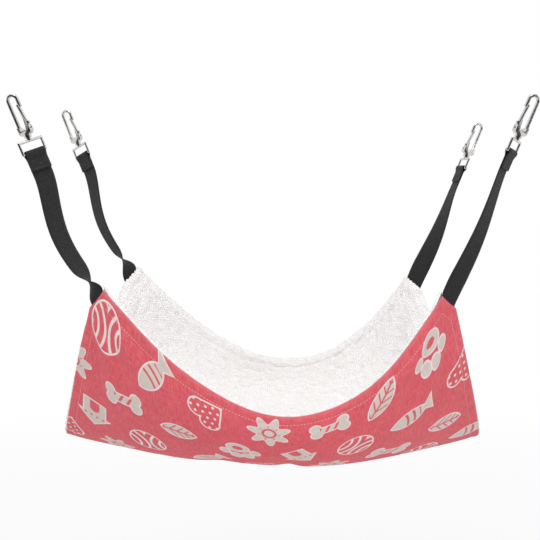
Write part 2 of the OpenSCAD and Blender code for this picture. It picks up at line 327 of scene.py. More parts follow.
@dataclass(frozen=True)
class Stamp:
    """One motif's own square, about -1 to 1 each way, with a drawing for each kind."""

    x: Scalar
    y: Scalar

    def draw(self, motif: Motif) -> Drawing:
        """Draw one kind of motif.

        Args:
            motif: The kind.

        Returns:
            Signed distance to its outline, and a mask of its inner details.
        """
        drawings = {
            Motif.YARN: self._yarn,
            Motif.FISH: self._fish,
            Motif.HEART: self._heart,
            Motif.DAISY: self._daisy,
            Motif.BONE: self._bone,
            Motif.LEAF: self._leaf,
            Motif.PAW: self._paw,
            Motif.HOUSE: self._house,
        }
        return drawings[motif]()

    def disc(self, cx: float, cy: float, r: float, flat: float = 1.0) -> Scalar:
        """Signed distance to a disc, or to an oval squeezed along y."""
        dx, dy = self.x - cx, (self.y - cy) * flat
        return (dx * dx + dy * dy).root() - r

    def dots(self, pitch: float, r: float) -> Scalar:
        """Mask of staggered dots.

        Args:
            pitch: Distance from row to row.
            r: Radius of a dot as a share of the pitch.

        Returns:
            The mask.
        """
        line = (self.y / pitch).math("FLOOR")
        gx = (self.x / pitch + line * 0.5).math("FRACT") - 0.5
        gy = (self.y / pitch).math("FRACT") - 0.5
        return (gx * gx + gy * gy).root().below(r, 0.08)

    def _yarn(self) -> Drawing:
        """Ball of yarn with two ways of wound thread.

        Returns:
            Its outline and details.
        """
        band_a = self.disc(-1.1, -0.5, 0.0).stripes(15.0, -0.55)
        band_b = self.disc(1.0, 0.9, 0.0).stripes(15.0, -0.55)
        side = (self.x + self.y * 0.6).below(0.05, 0.06)
        return self.disc(0.0, 0.0, 0.9), band_a * side + band_b * (1.0 - side)

    def _fish(self) -> Drawing:
        """Fish with rows of curved scales.

        Returns:
            Its outline and details.
        """
        body = self.disc(-0.18, 0.75, 1.2).most(self.disc(-0.18, -0.75, 1.2))
        tail = (self.y.size() - (self.x - 0.42) * 0.85).most(self.x - 1.0).most(0.45 - self.x)
        scales = self.disc(-1.5, 0.0, 0.0).stripes(19.0, -0.5)
        along = (self.x + 0.45).math("GREATER_THAN", 0.0) * (self.x - 0.4).math("LESS_THAN", 0.0)
        return body.least(tail), scales * along

    def _heart(self) -> Drawing:
        """Heart with staggered dots.

        Returns:
            Its outline and details.
        """
        half = Stamp(self.x.size(), self.y)
        rise = self.y + 0.92
        point = (half.x * 0.742 - rise * 0.671).most(half.x * 0.671 + rise * 0.742 - 1.157)
        return half.disc(0.42, 0.26, 0.48).least(point.most(self.y - 0.26)), self.dots(0.34, 0.2)

    def _daisy(self) -> Drawing:
        """Flower with seven petals round an open centre.

        Returns:
            Its outline and details.
        """
        r = self.disc(0.0, 0.0, 0.0)
        petal = (self.y.math("ARCTAN2", self.x) * 7.0).math("COSINE")
        ring = (r - 0.27).within(0.055, 0.04)
        ray = petal.below(-0.93, 0.1) * (0.36 - r).math("LESS_THAN", 0.0)
        return r - 0.74 - petal * 0.2, ring.most(ray)

    def _bone(self) -> Drawing:
        """Chewing bone with slanted stripes.

        Returns:
            Its outline and details.
        """
        quarter = Stamp(self.x.size(), self.y.size())
        bar = (quarter.y - 0.24).most(quarter.x - 0.7)
        stripe = (self.x + self.y * 0.6).stripes(14.0, -0.45)
        return bar.least(quarter.disc(0.72, 0.25, 0.3)), stripe * (quarter.x - 0.5).math("LESS_THAN", 0.0)

    def _leaf(self) -> Drawing:
        """Leaf with a midrib and slanted veins.

        Returns:
            Its outline and details.
        """
        blade = self.disc(0.0, 0.62, 1.12).most(self.disc(0.0, -0.62, 1.12))
        veins = (self.x - self.y.size() * 0.9).stripes(16.0, -0.72, 0.3)
        return blade, veins.most(self.y.within(0.05, 0.04))

    def _paw(self) -> Drawing:
        """Paw print: one pad and four toes.

        Returns:
            Its outline and details.
        """
        pad = self.disc(0.0, -0.34, 0.54, 1.2)
        for cx, cy, r in ((-0.7, 0.14, 0.24), (-0.27, 0.6, 0.27), (0.27, 0.6, 0.27), (0.7, 0.14, 0.24)):
            pad = pad.least(self.disc(cx, cy, r, 0.82))
        return pad, self.disc(0.0, -0.34, 0.26, 1.3).below(0.0, 0.04)

    def _house(self) -> Drawing:
        """Pet house with a round-topped door and a row of dots under the roof.

        Returns:
            Its outline and details.
        """
        side = self.x.size()
        wall = (side - 0.58).most(self.y - 0.16).most(-0.82 - self.y)
        roof = (side * 0.7 + (self.y - 0.88) * 0.72).most(0.1 - self.y)
        door = self.disc(0.0, -0.36, 0.25).least((side - 0.25).most(self.y + 0.36))
        band = (self.y - 0.2).within(0.12, 0.02) * Stamp(self.x, self.y - 0.05).dots(0.3, 0.22)
        return wall.least(roof), door.below(0.0, 0.04).most(band)


@dataclass(frozen=True)
class ScatterPrint:
    """Loose brick layout of small pet motifs on cloth, lengths in metres."""

    cell_x: float = 0.070
    cell_y: float = 0.059
    nudge_x: float = 0.007
    nudge_y: float = 0.005
    radius: float = 0.0255
    smallest: float = 0.90
    growth: float = 0.18
    tilt_range: float = 2.0
    row_step: float = 3.0
    line: float = 0.036
    soft: float = 0.03

    def group(self) -> NodeTree:
        """Build the print over flat cloth coordinates.

        Returns:
            A group with a fill mask and an outline mask.
        """
        tree, start, end = shader_group("scattered print", ("Fill", "Line"))
        u, v = split_xy(tree, start.outputs["Vector"])
        row = (v / self.cell_y).math("FLOOR")
        shifted = u / self.cell_x + row * 0.5
        column = shifted.math("FLOOR")
        cell = add_node(tree, "ShaderNodeCombineXYZ", {0: column, 1: row})
        chance = add_node(tree, "ShaderNodeTexWhiteNoise", {"Vector": cell.outputs[0]}, noise_dimensions="2D")
        parts = add_node(tree, "ShaderNodeSeparateColor", {0: chance.outputs["Color"]})
        turn_by, grow_by, nudge = (Scalar(tree, part) for part in parts.outputs)
        kind = (column + row * self.row_step).math("FLOORED_MODULO", float(len(Motif))).math("ROUND")
        x = (shifted.math("FRACT") - 0.5) * self.cell_x + (nudge - 0.5) * self.nudge_x
        y = ((v / self.cell_y).math("FRACT") - 0.5) * self.cell_y + (turn_by - 0.5) * self.nudge_y
        scale = self.radius * (self.smallest + grow_by * self.growth)
        angle = (turn_by - 0.5) * self.tilt_range
        cosine, sine = angle.math("COSINE"), angle.wave()
        stamp = Stamp((x * cosine - y * sine) / scale, (x * sine + y * cosine) / scale)
        outline = detail = solid = stamp.x * 0.0
        for motif in Motif:
            edge, inner = stamp.draw(motif)
            chosen = (kind - motif.number).within(0.5, 0.02)
            outline = outline + edge * chosen
            detail = detail + inner * chosen
            if motif.filled:
                solid = solid + chosen
        inside = outline.below(-self.line, self.soft)
        fill = inside * (1.0 - detail) * solid
        line = outline.within(self.line, self.soft).most(inside * detail * (1.0 - solid))
        feed(end, {"Fill": fill, "Line": line})
        return tree


# Finishes


@dataclass
class MaterialNodes:
    """One material under construction."""

    name: str
    tree: NodeTree = field(init=False)
    shader: Node = field(init=False)
    material: Material = field(init=False)

    def __post_init__(self) -> None:
        """Make the material with its principled shader."""
        self.material = bpy.data.materials.new(self.name)
        self.material.use_nodes = True
        self.tree = self.material.node_tree
        self.shader = self.tree.nodes["Principled BSDF"]

    def node(self, kind: str, feeds: Feeds | None = None, **settings: Any) -> Node:
        """Add a node to the material."""
        return add_node(self.tree, kind, feeds, **settings)

    def effect(self, group: NodeTree, vector: NodeSocket, **numbers: float) -> list[Scalar]:
        """Place a node group.

        Args:
            group: The group.
            vector: Coordinates that it works on.
            numbers: Its number inputs.

        Returns:
            Its outputs in order.
        """
        made = self.node("ShaderNodeGroup", {"Vector": vector, **numbers}, node_tree=group)
        return [Scalar(self.tree, output) for output in made.outputs]

    def flat_cloth(self, width: float, length: float) -> NodeSocket:
        """Flat cloth coordinates in metres, from the piece's own UV map.

        Args:
            width: Cloth width that the map's unit stands for.
            length: Cloth length that the map's unit stands for.

        Returns:
            The vector output.
        """
        source = self.node("ShaderNodeUVMap", uv_map="flat").outputs[0]
        return self.node("ShaderNodeMapping", {"Vector": source, "Scale": (width, length, 1.0)}).outputs[0]

    def place(self) -> NodeSocket:
        """Object coordinates."""
        return self.node("ShaderNodeTexCoord").outputs["Object"]

    def attribute(self, name: str) -> Scalar:
        """A number stored on the mesh."""
        return Scalar(self.tree, self.node("ShaderNodeAttribute", attribute_name=name).outputs["Fac"])

    def blend(
        self, amount: Scalar | float, low: NodeSocket | Colour, high: NodeSocket | Colour, way: str = "MIX"
    ) -> NodeSocket:
        """Mix two colours.

        Args:
            amount: Share of the second colour.
            low: First colour, a socket or plain numbers.
            high: Second colour, a socket or plain numbers.
            way: How they mix.

        Returns:
            The colour output.
        """
        feeds: Feeds = {"Factor": amount}
        for slot, colour in ((6, low), (7, high)):
            feeds[slot] = colour if isinstance(colour, NodeSocket) else (*colour, 1.0)
        return self.node("ShaderNodeMix", feeds, data_type="RGBA", blend_type=way).outputs[2]

    def relief(self, height: Scalar, strength: float, distance: float) -> None:
        """Feed a height to the shader's normal, on top of any earlier relief.

        Args:
            height: The height.
            strength: How much of it shows.
            distance: Depth in metres that it stands for.
        """
        feeds = {"Strength": strength, "Distance": distance, "Height": height}
        earlier = self.shader.inputs["Normal"]
        if earlier.is_linked:
            feeds["Normal"] = earlier.links[0].from_socket
        feed(self.shader, {"Normal": self.node("ShaderNodeBump", feeds).outputs[0]})


@dataclass(frozen=True)
class Finish:
    """Looks of one surface."""

    name: str
    mottle: float
    rough: Pair
    plain: Plain = ()

    def material(self, effects: SharedEffects) -> Material:
        """Build the material.

        Args:
            effects: The shared node groups.

        Returns:
            The finished material.
        """
        made = MaterialNodes(self.name)
        self.dress(made, effects)
        return made.material

    def dress(self, made: MaterialNodes, effects: SharedEffects) -> None:
        """Add the finish's own nodes.

        Args:
            made: The material under construction.
            effects: The shared node groups.
        """
        raise NotImplementedError

    def surface(self, made: MaterialNodes, colour: NodeSocket, grain: Scalar) -> None:
        """Feed the shader its colour, its roughness and its plain values.

        Args:
            made: The material under construction.
            colour: Its colour.
            grain: Unevenness that makes it rougher.
        """
        least, spread = self.rough
        rough = grain * spread + least
        feed(made.shader, {"Base Color": colour, "Roughness": rough, **dict(self.plain)})


@dataclass(frozen=True)
class CanvasFinish(Finish):
    """Coral-red cotton canvas with a pale scattered print."""

    name: str = "printed_canvas_cloth"
    mottle: float = 26.0
    rough: Pair = (0.78, 0.16)
    plain: Plain = (
        ("Sheen Weight", 0.12),
        ("Sheen Roughness", 0.5),
        ("Specular IOR Level", 0.25),
    )
    ground: Colour = (0.745, 0.113, 0.142)
    shade: Colour = (0.66, 0.091, 0.117)
    motif: Colour = (0.64, 0.60, 0.55)
    line: Colour = (0.81, 0.755, 0.73)
    hem: Colour = (0.70, 0.19, 0.20)
    slub: Colour = (0.80, 0.235, 0.255)
    dark_slub: Colour = (0.47, 0.050, 0.068)
    slub_ways: tuple[Colour, Colour] = ((90.0, 780.0, 1.0), (780.0, 90.0, 1.0))
    slub_share: float = 0.4
    thread: float = 0.00075
    thread_share: float = 0.45
    rub: Pair = (0.003, 0.004)
    cut: Pair = (0.5, 0.5)
    dye_contrast: float = 1.6
    slub_contrast: float = 4.0
    # Gain and floor of the painted shade between the threads, applied at thread_share
    weave_shade: Pair = (0.7, 0.45)
    ink_cover: float = 0.93
    ink_wear: float = 0.5
    weave_relief: Pair = (0.35, 0.0003)
    broad_relief: Pair = (0.25, 0.004)

    def dress(self, made: MaterialNodes, effects: SharedEffects) -> None:
        """Add uneven dye, slubs, the print, painted shade between its threads and a rubbed hem.

        Args:
            made: The material under construction.
            effects: The shared node groups.
        """
        cloth = made.flat_cloth(*self.cut)
        broad, fine = made.effect(effects.mottle, cloth, Scale=self.mottle)
        height, tone = made.effect(effects.weave, cloth, Warp=self.thread, Weft=self.thread)
        fill, line = made.effect(ScatterPrint().group(), cloth)
        colour = made.blend(((broad - 0.5) * self.dye_contrast + 0.5).clamped(), self.shade, self.ground)
        for way in self.slub_ways:
            pulled = made.node("ShaderNodeMapping", {"Vector": cloth, "Scale": way})
            streak = made.node("ShaderNodeTexNoise", {"Vector": pulled.outputs[0], "Scale": 1.0})
            level = Scalar(made.tree, streak.outputs[0]) * self.slub_contrast - self.slub_contrast / 2
            colour = made.blend((level * self.slub_share).clamped(), colour, self.slub)
            colour = made.blend((level * -self.slub_share).clamped(), colour, self.dark_slub)
        colour = made.blend(made.attribute("edge").below(*self.rub) * fine, colour, self.hem)
        ink = (fine - 0.5) * self.ink_wear + self.ink_cover
        colour = made.blend((fill * ink).clamped(), colour, self.motif)
        colour = made.blend((line * ink).clamped(), colour, self.line)
        # Painted shade of the weave: the colour is multiplied darker where the threads lie low.
        grey = tone * self.weave_shade[0] + self.weave_shade[1]
        threads = made.node("ShaderNodeCombineColor", {0: grey, 1: grey, 2: grey})
        colour = made.blend(self.thread_share, colour, threads.outputs[0], "MULTIPLY")
        self.surface(made, colour, broad)
        made.relief(height, *self.weave_relief)
        made.relief(broad, *self.broad_relief)


@dataclass(frozen=True)
class FleeceFinish(Finish):
    """White short-pile plush."""

    name: str = "plush_fleece"
    mottle: float = 110.0
    rough: Pair = (0.88, 0.1)
    plain: Plain = (
        ("Sheen Weight", 0.15),
        ("Sheen Roughness", 0.6),
        ("Specular IOR Level", 0.15),
    )
    # deep is painted shade: the grey of the relief's valleys, on top of random tone.
    light: Colour = (0.90, 0.885, 0.88)
    deep: Colour = (0.82, 0.80, 0.795)
    broad_share: float = 0.8
    fine_share: float = 0.6
    darken: float = 0.2
    broad_relief: Pair = (0.25, 0.002)
    fine_relief: Pair = (0.3, 0.0006)

    def dress(self, made: MaterialNodes, effects: SharedEffects) -> None:
        """Add an uneven white, greyer where the relief lies low as painted shade in its valleys, with a soft
        sheen.

        Args:
            made: The material under construction.
            effects: The shared node groups.
        """
        broad, fine = made.effect(effects.mottle, made.place(), Scale=self.mottle)
        # Painted shade: the same noise raises the relief, so the grey falls in its valleys; the noise is also
        # random tone.
        tone = broad * self.broad_share + fine * self.fine_share - self.darken
        colour = made.blend(tone.clamped(), self.deep, self.light)
        self.surface(made, colour, fine)
        made.relief(broad, *self.broad_relief)
        made.relief(fine, *self.fine_relief)


@dataclass(frozen=True)
class WebbingFinish(Finish):
    """Black woven webbing with ribs across and firm edges."""

    name: str = "black_webbing"
    mottle: float = 90.0
    rough: Pair = (0.55, 0.2)
    plain: Plain = (("Sheen Weight", 0.05), ("Specular IOR Level", 0.25))
    # light and deep span the ribs' tone: the darker deep colour is painted shade in the gaps, with random
    # fuzz.
    light: Colour = (0.021, 0.021, 0.022)
    deep: Colour = (0.007, 0.007, 0.0075)
    worn: Colour = (0.050, 0.049, 0.050)
    width: float = 0.025
    length: float = 0.25
    warp: float = 0.00125
    weft: float = 0.0017
    selvage: float = 0.0016
    contrast: float = 1.3
    darken: float = 0.45
    fuzz: float = 0.5
    wear: float = 0.9
    weave_relief: Pair = (0.8, 0.0005)

    def dress(self, made: MaterialNodes, effects: SharedEffects) -> None:
        """Add the ribbed weave, with painted shade darker in the gaps between ribs, and edges worn paler.

        Args:
            made: The material under construction.
            effects: The shared node groups.
        """
        cloth = made.flat_cloth(self.width, self.length)
        height, tone = made.effect(effects.weave, cloth, Warp=self.warp, Weft=self.weft)
        fine = made.effect(effects.mottle, made.place(), Scale=self.mottle)[1]
        # Painted shade: the weave's tone darkens the low gaps between ribs; the fuzz is random.
        tone = tone * self.contrast - self.darken + (fine - 0.5) * self.fuzz
        colour = made.blend(tone.clamped(), self.deep, self.light)
        from_middle = (split_xy(made.tree, cloth)[0] - self.width / 2).size()
        edge = (from_middle - self.width / 2 + self.selvage).share_of(self.selvage)
        colour = made.blend((edge * fine * self.wear).clamped(), colour, self.worn)
        self.surface(made, colour, fine)
        made.relief(height, *self.weave_relief)


@dataclass(frozen=True)
class ThreadFinish(Finish):
    """Sewing thread."""

    name: str = "pale_thread"
    mottle: float = 700.0
    rough: Pair = (0.55, 0.2)
    light: Colour = (0.80, 0.56, 0.54)
    deep: Colour = (0.66, 0.38, 0.37)
    broad_relief: Pair = (0.4, 0.0002)

    def dress(self, made: MaterialNodes, effects: SharedEffects) -> None:
        """Add an uneven spun tone.

        Args:
            made: The material under construction.
            effects: The shared node groups.
        """
        broad, fine = made.effect(effects.mottle, made.place(), Scale=self.mottle)
        self.surface(made, made.blend(broad, self.deep, self.light), fine)
        made.relief(broad, *self.broad_relief)


@dataclass(frozen=True)
class PlateFinish(Finish):
    """Bright plated metal with fine handling marks."""

    name: str = "nickel_plating"
    mottle: float = 160.0
    rough: Pair = (0.10, 0.44)
    plain: Plain = (("Metallic", 1.0),)
    clean: Colour = (0.74, 0.73, 0.715)
    dull: Colour = (0.52, 0.51, 0.50)
    contrast: float = 1.5
    darken: float = 0.25
    broad_relief: Pair = (0.12, 0.0006)
    fine_relief: Pair = (0.10, 0.0001)

    def dress(self, made: MaterialNodes, effects: SharedEffects) -> None:
        """Add duller patches and handling marks.

        Args:
            made: The material under construction.
            effects: The shared node groups.
        """
        broad, fine = made.effect(effects.mottle, made.place(), Scale=self.mottle)
        colour = made.blend((broad * self.contrast - self.darken).clamped(), self.dull, self.clean)
        self.surface(made, colour, broad * fine)
        made.relief(broad, *self.broad_relief)
        made.relief(fine, *self.fine_relief)


# Mesh helpers


def unit(vector: Array) -> Array:
    """Scale vectors to length one."""
    return vector / np.linalg.norm(vector, axis=-1, keepdims=True)


def ease(share: Array | float) -> Array | float:
    """Smooth step between 0 and 1."""
    share = np.clip(share, 0.0, 1.0)
    return share * share * (3.0 - 2.0 * share)


@dataclass(frozen=True)
class Ridge:
    """Smooth swell over one measure: its height, its middle and its spread."""

    height: float
    middle: float
    spread: float

    def at(self, place: Array) -> Array:
        """Height of the swell at a place."""
        return self.height * np.exp(-(((place - self.middle) / self.spread) ** 2))


def new_object(name: str, mesh: Mesh, material: Material | None = None) -> Object:
    """Put a mesh in the scene.

    Args:
        name: Name of the piece.
        mesh: Its mesh.
        material: Its material, if it has one yet.

    Returns:
        The new object.
    """
    mesh.name = name
    if material is not None:
        mesh.materials.clear()
        mesh.materials.append(material)
    made = bpy.data.objects.new(name, mesh)
    bpy.context.scene.collection.objects.link(made)
    return made


def mesh_from(
    points: Array, faces: Sequence[Sequence[int]] = (), edges: Sequence[tuple[int, int]] = ()
) -> Mesh:
    """Make a smooth mesh.

    Args:
        points: Array of points.
        faces: Corner numbers of each face.
        edges: Ends of each edge that has no face.

    Returns:
        The mesh.
    """
    mesh = bpy.data.meshes.new("piece")
    mesh.from_pydata(points.tolist(), edges, faces)
    mesh.shade_smooth()
    mesh.update()
    return mesh


def grid_faces(rows: int, columns: int, start: int, flip: bool) -> list[tuple[int, ...]]:
    """Quads of a grid of points.

    Args:
        rows: Points along the first way.
        columns: Points along the second way.
        start: Number of the first point.
        flip: Whether the faces look the other way.

    Returns:
        The quads.
    """
    faces = []
    for i, j in product(range(rows - 1), range(columns - 1)):
        k = start + i * columns + j
        quad = (k, k + columns, k + columns + 1, k + 1)
        faces.append(quad[::-1] if flip else quad)
    return faces


def closed_shell(outer: Array, inner: Array, flat: Array) -> Mesh:
    """Close two grids of points into one shell with a flat map.

    Args:
        outer: Points of the first face, in rows.
        inner: Points of the second face, in rows.
        flat: Place of each point in the UV map.

    Returns:
        The mesh.
    """
    rows, columns = outer.shape[:2]
    total = rows * columns
    last = total - columns
    rim = [*range(0, last, columns), *range(last, total - 1)]
    rim += [*range(total - 1, columns - 1, -columns), *range(columns - 1, 0, -1)]
    faces = grid_faces(rows, columns, 0, True) + grid_faces(rows, columns, total, False)
    for here, there in zip(rim, rim[1:] + rim[:1]):
        faces.append((here, there, there + total, here + total))
    mesh = mesh_from(np.concatenate([outer.reshape(-1, 3), inner.reshape(-1, 3)]), faces)
    corners = np.empty(len(mesh.loops), dtype=np.int32)
    mesh.loops.foreach_get("vertex_index", corners)
    places = np.tile(flat.reshape(-1, 2), (2, 1))[corners]
    mesh.uv_layers.new(name="flat").data.foreach_set("uv", places.astype(np.float32).ravel())
    return mesh


@contextmanager
def editing(source: Mesh, target: Mesh) -> Iterator[bmesh.types.BMesh]:
    """Open a mesh for editing and write the result to a mesh.

    Args:
        source: Mesh that is read.
        target: Mesh that is written.

    Yields:
        The mesh under work.
    """
    work = bmesh.new()
    work.from_mesh(source)
    yield work
    work.to_mesh(target)
    work.free()


def finished_mesh(holder: Object) -> Mesh:
    """Take an object's mesh with its modifiers done, and remove the object.

    Args:
        holder: The object.

    Returns:
        The mesh.
    """
    graph = bpy.context.evaluated_depsgraph_get()
    mesh = bpy.data.meshes.new_from_object(holder.evaluated_get(graph))
    bpy.data.objects.remove(holder)
    return mesh


def set_input(modifier: NodesModifier, name: str, value: Any) -> None:
    """Set a node modifier's input by its socket's identifier.

    Args:
        modifier: The modifier.
        name: Name of the input.
        value: Its value.
    """
    sockets = [item for item in modifier.node_group.interface.items_tree if item.item_type == "SOCKET"]
    inputs = {item.name: item.identifier for item in sockets if item.in_out == "INPUT"}
    modifier[inputs[name]] = value


def grown(name: str, carrier: Mesh, tree: NodeTree, material: Material, **values: float) -> Object:
    """Run a geometry tree on a carrier mesh and keep the result as a plain piece.

    Args:
        name: Name of the piece.
        carrier: Mesh that the tree works on.
        tree: Geometry tree with a Finish input.
        material: Material that the tree sets.
        values: The tree's other inputs.

    Returns:
        The finished piece.
    """
    holder = new_object(name + "_carrier", carrier)
    modifier = holder.modifiers.new("grow", "NODES")
    modifier.node_group = tree
    for key, value in {"Finish": material, **values}.items():
        set_input(modifier, key, value)
    mesh = finished_mesh(holder)
    mesh.shade_smooth()
    return new_object(name, mesh, material)


def declare(piece: Object, slot: str, *nodes: str) -> None:
    """Hide the solids that a finished piece stands for, and report its face count.

    Args:
        piece: The piece.
        slot: The record's material slot; not used.
        nodes: Solids that it replaces.
    """
    if nodes:
        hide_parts(*nodes)
    LOG.info("%s: %d faces", piece.name, len(piece.data.polygons))


class Growth:
    """Geometry trees for what repeats: stitches along a line and pile on a surface."""

    def __init__(self) -> None:
        """Build both trees."""
        self.stitches = self._stitches()
        self.pile = self._pile()

    @staticmethod
    def _start(name: str, **numbers: float | int) -> tuple[NodeTree, Node]:
        """Start a tree with a geometry, a material and number inputs.

        Args:
            name: Name of the tree.
            numbers: Its number inputs with their defaults.

        Returns:
            The tree and its input node.
        """
        tree = bpy.data.node_groups.new(name, "GeometryNodeTree")
        add_socket(tree, "INPUT", "Geometry", "Geometry")
        add_socket(tree, "INPUT", "Finish", "Material")
        for label, value in numbers.items():
            add_socket(tree, "INPUT", label, "Int" if isinstance(value, int) else "Float", value)
        add_socket(tree, "OUTPUT", "Geometry", "Geometry")
        return tree, tree.nodes.new("NodeGroupInput")

    @staticmethod
    def _close(tree: NodeTree, start: Node, feeds: Feeds) -> NodeTree:
        """End a tree in plain, finished geometry.

        Args:
            tree: The tree.
            start: Its input node.
            feeds: What Instance on Points gets.

        Returns:
            The tree.
        """
        put = add_node(tree, "GeometryNodeInstanceOnPoints", feeds)
        real = add_node(tree, "GeometryNodeRealizeInstances", {0: put.outputs[0]})
        feeds = {"Geometry": real.outputs[0], "Material": start.outputs["Finish"]}
        finish = add_node(tree, "GeometryNodeSetMaterial", feeds)
        add_node(tree, "NodeGroupOutput", {0: finish.outputs[0]})
        return tree

    def _stitches(self) -> NodeTree:
        """Row of thread stitches along a line of edges.

        Returns:
            The tree.
        """
        tree, start = self._start("stitch row", Pitch=0.0036, Length=0.0026, Thread=0.00028)
        given = start.outputs
        curve = add_node(tree, "GeometryNodeMeshToCurve", {0: given["Geometry"]})
        feeds = {"Curve": curve.outputs[0], "Length": given["Pitch"]}
        spaced = add_node(tree, "GeometryNodeResampleCurve", feeds, mode="LENGTH")
        hold = add_node(tree, "GeometryNodeCaptureAttribute", {"Geometry": spaced.outputs[0]}, domain="POINT")
        hold.capture_items.new("VECTOR", "Way")
        feed(hold, {1: tree.nodes.new("GeometryNodeInputTangent").outputs[0]})
        feeds = {"Curve": hold.outputs["Geometry"]}
        points = add_node(tree, "GeometryNodeCurveToPoints", feeds, mode="EVALUATED")
        turn = add_node(tree, "FunctionNodeAlignRotationToVector", {"Vector": hold.outputs[1]}, axis="X")
        half = add_node(tree, "ShaderNodeMath", {0: given["Length"], 1: 0.5}, operation="MULTIPLY")
        feeds = {0: half.outputs[0], 1: given["Thread"], 2: given["Thread"]}
        size = add_node(tree, "ShaderNodeCombineXYZ", feeds)
        bead = add_node(tree, "GeometryNodeMeshUVSphere", {"Segments": 6, "Rings": 5, "Radius": 1.0})
        placed = {"Points": points.outputs["Points"], "Instance": bead.outputs["Mesh"]}
        return self._close(tree, start, {**placed, "Rotation": turn.outputs[0], "Scale": size.outputs[0]})

    def _pile(self) -> NodeTree:
        """Rounded tufts packed side by side on a surface.

        Returns:
            The tree.
        """
        numbers = {"Spacing": 0.0019, "Density": 700000.0, "Width": 0.0017, "Height": 0.0014, "Seed": 7}
        tree, start = self._start("packed tufts", **numbers)
        given = start.outputs
        feeds = {"Mesh": given["Geometry"], "Distance Min": given["Spacing"]}
        feeds |= {"Density Max": given["Density"], "Seed": given["Seed"]}
        scatter = add_node(tree, "GeometryNodeDistributePointsOnFaces", feeds, distribute_method="POISSON")
        tuft = add_node(tree, "GeometryNodeMeshIcoSphere", {"Radius": 1.0, "Subdivisions": 1})
        feeds = {0: given["Width"], 1: given["Width"], 2: given["Height"]}
        size = add_node(tree, "ShaderNodeCombineXYZ", feeds)
        chances = []
        for low, high in (
            ((0.75, 0.60, 0.75), (1.25, 1.00, 1.30)),
            ((-0.5, -0.5, 0.0), (0.5, 0.5, 2 * math.pi)),
        ):
            chance = add_node(tree, "FunctionNodeRandomValue", data_type="FLOAT_VECTOR")
            feed(chance, {0: low, 1: high, "Seed": given["Seed"]})
            chances.append(chance.outputs[0])
        vary, spin = chances
        scaled = add_node(tree, "ShaderNodeVectorMath", {0: size.outputs[0], 1: vary}, operation="MULTIPLY")
        feeds = {"Rotation": scatter.outputs["Rotation"], "Rotate By": spin}
        turn = add_node(tree, "FunctionNodeRotateRotation", feeds, rotation_space="LOCAL")
        placed = {"Points": scatter.outputs["Points"], "Instance": tuft.outputs["Mesh"]}
        return self._close(tree, start, {**placed, "Rotation": turn.outputs[0], "Scale": scaled.outputs[0]})


@dataclass(frozen=True)
class Cloths:
    """Materials of the soft pieces."""

    canvas: Material
    fleece: Material
    pile: Material
    webbing: Material
    thread: Material
    dark_thread: Material


# The mat


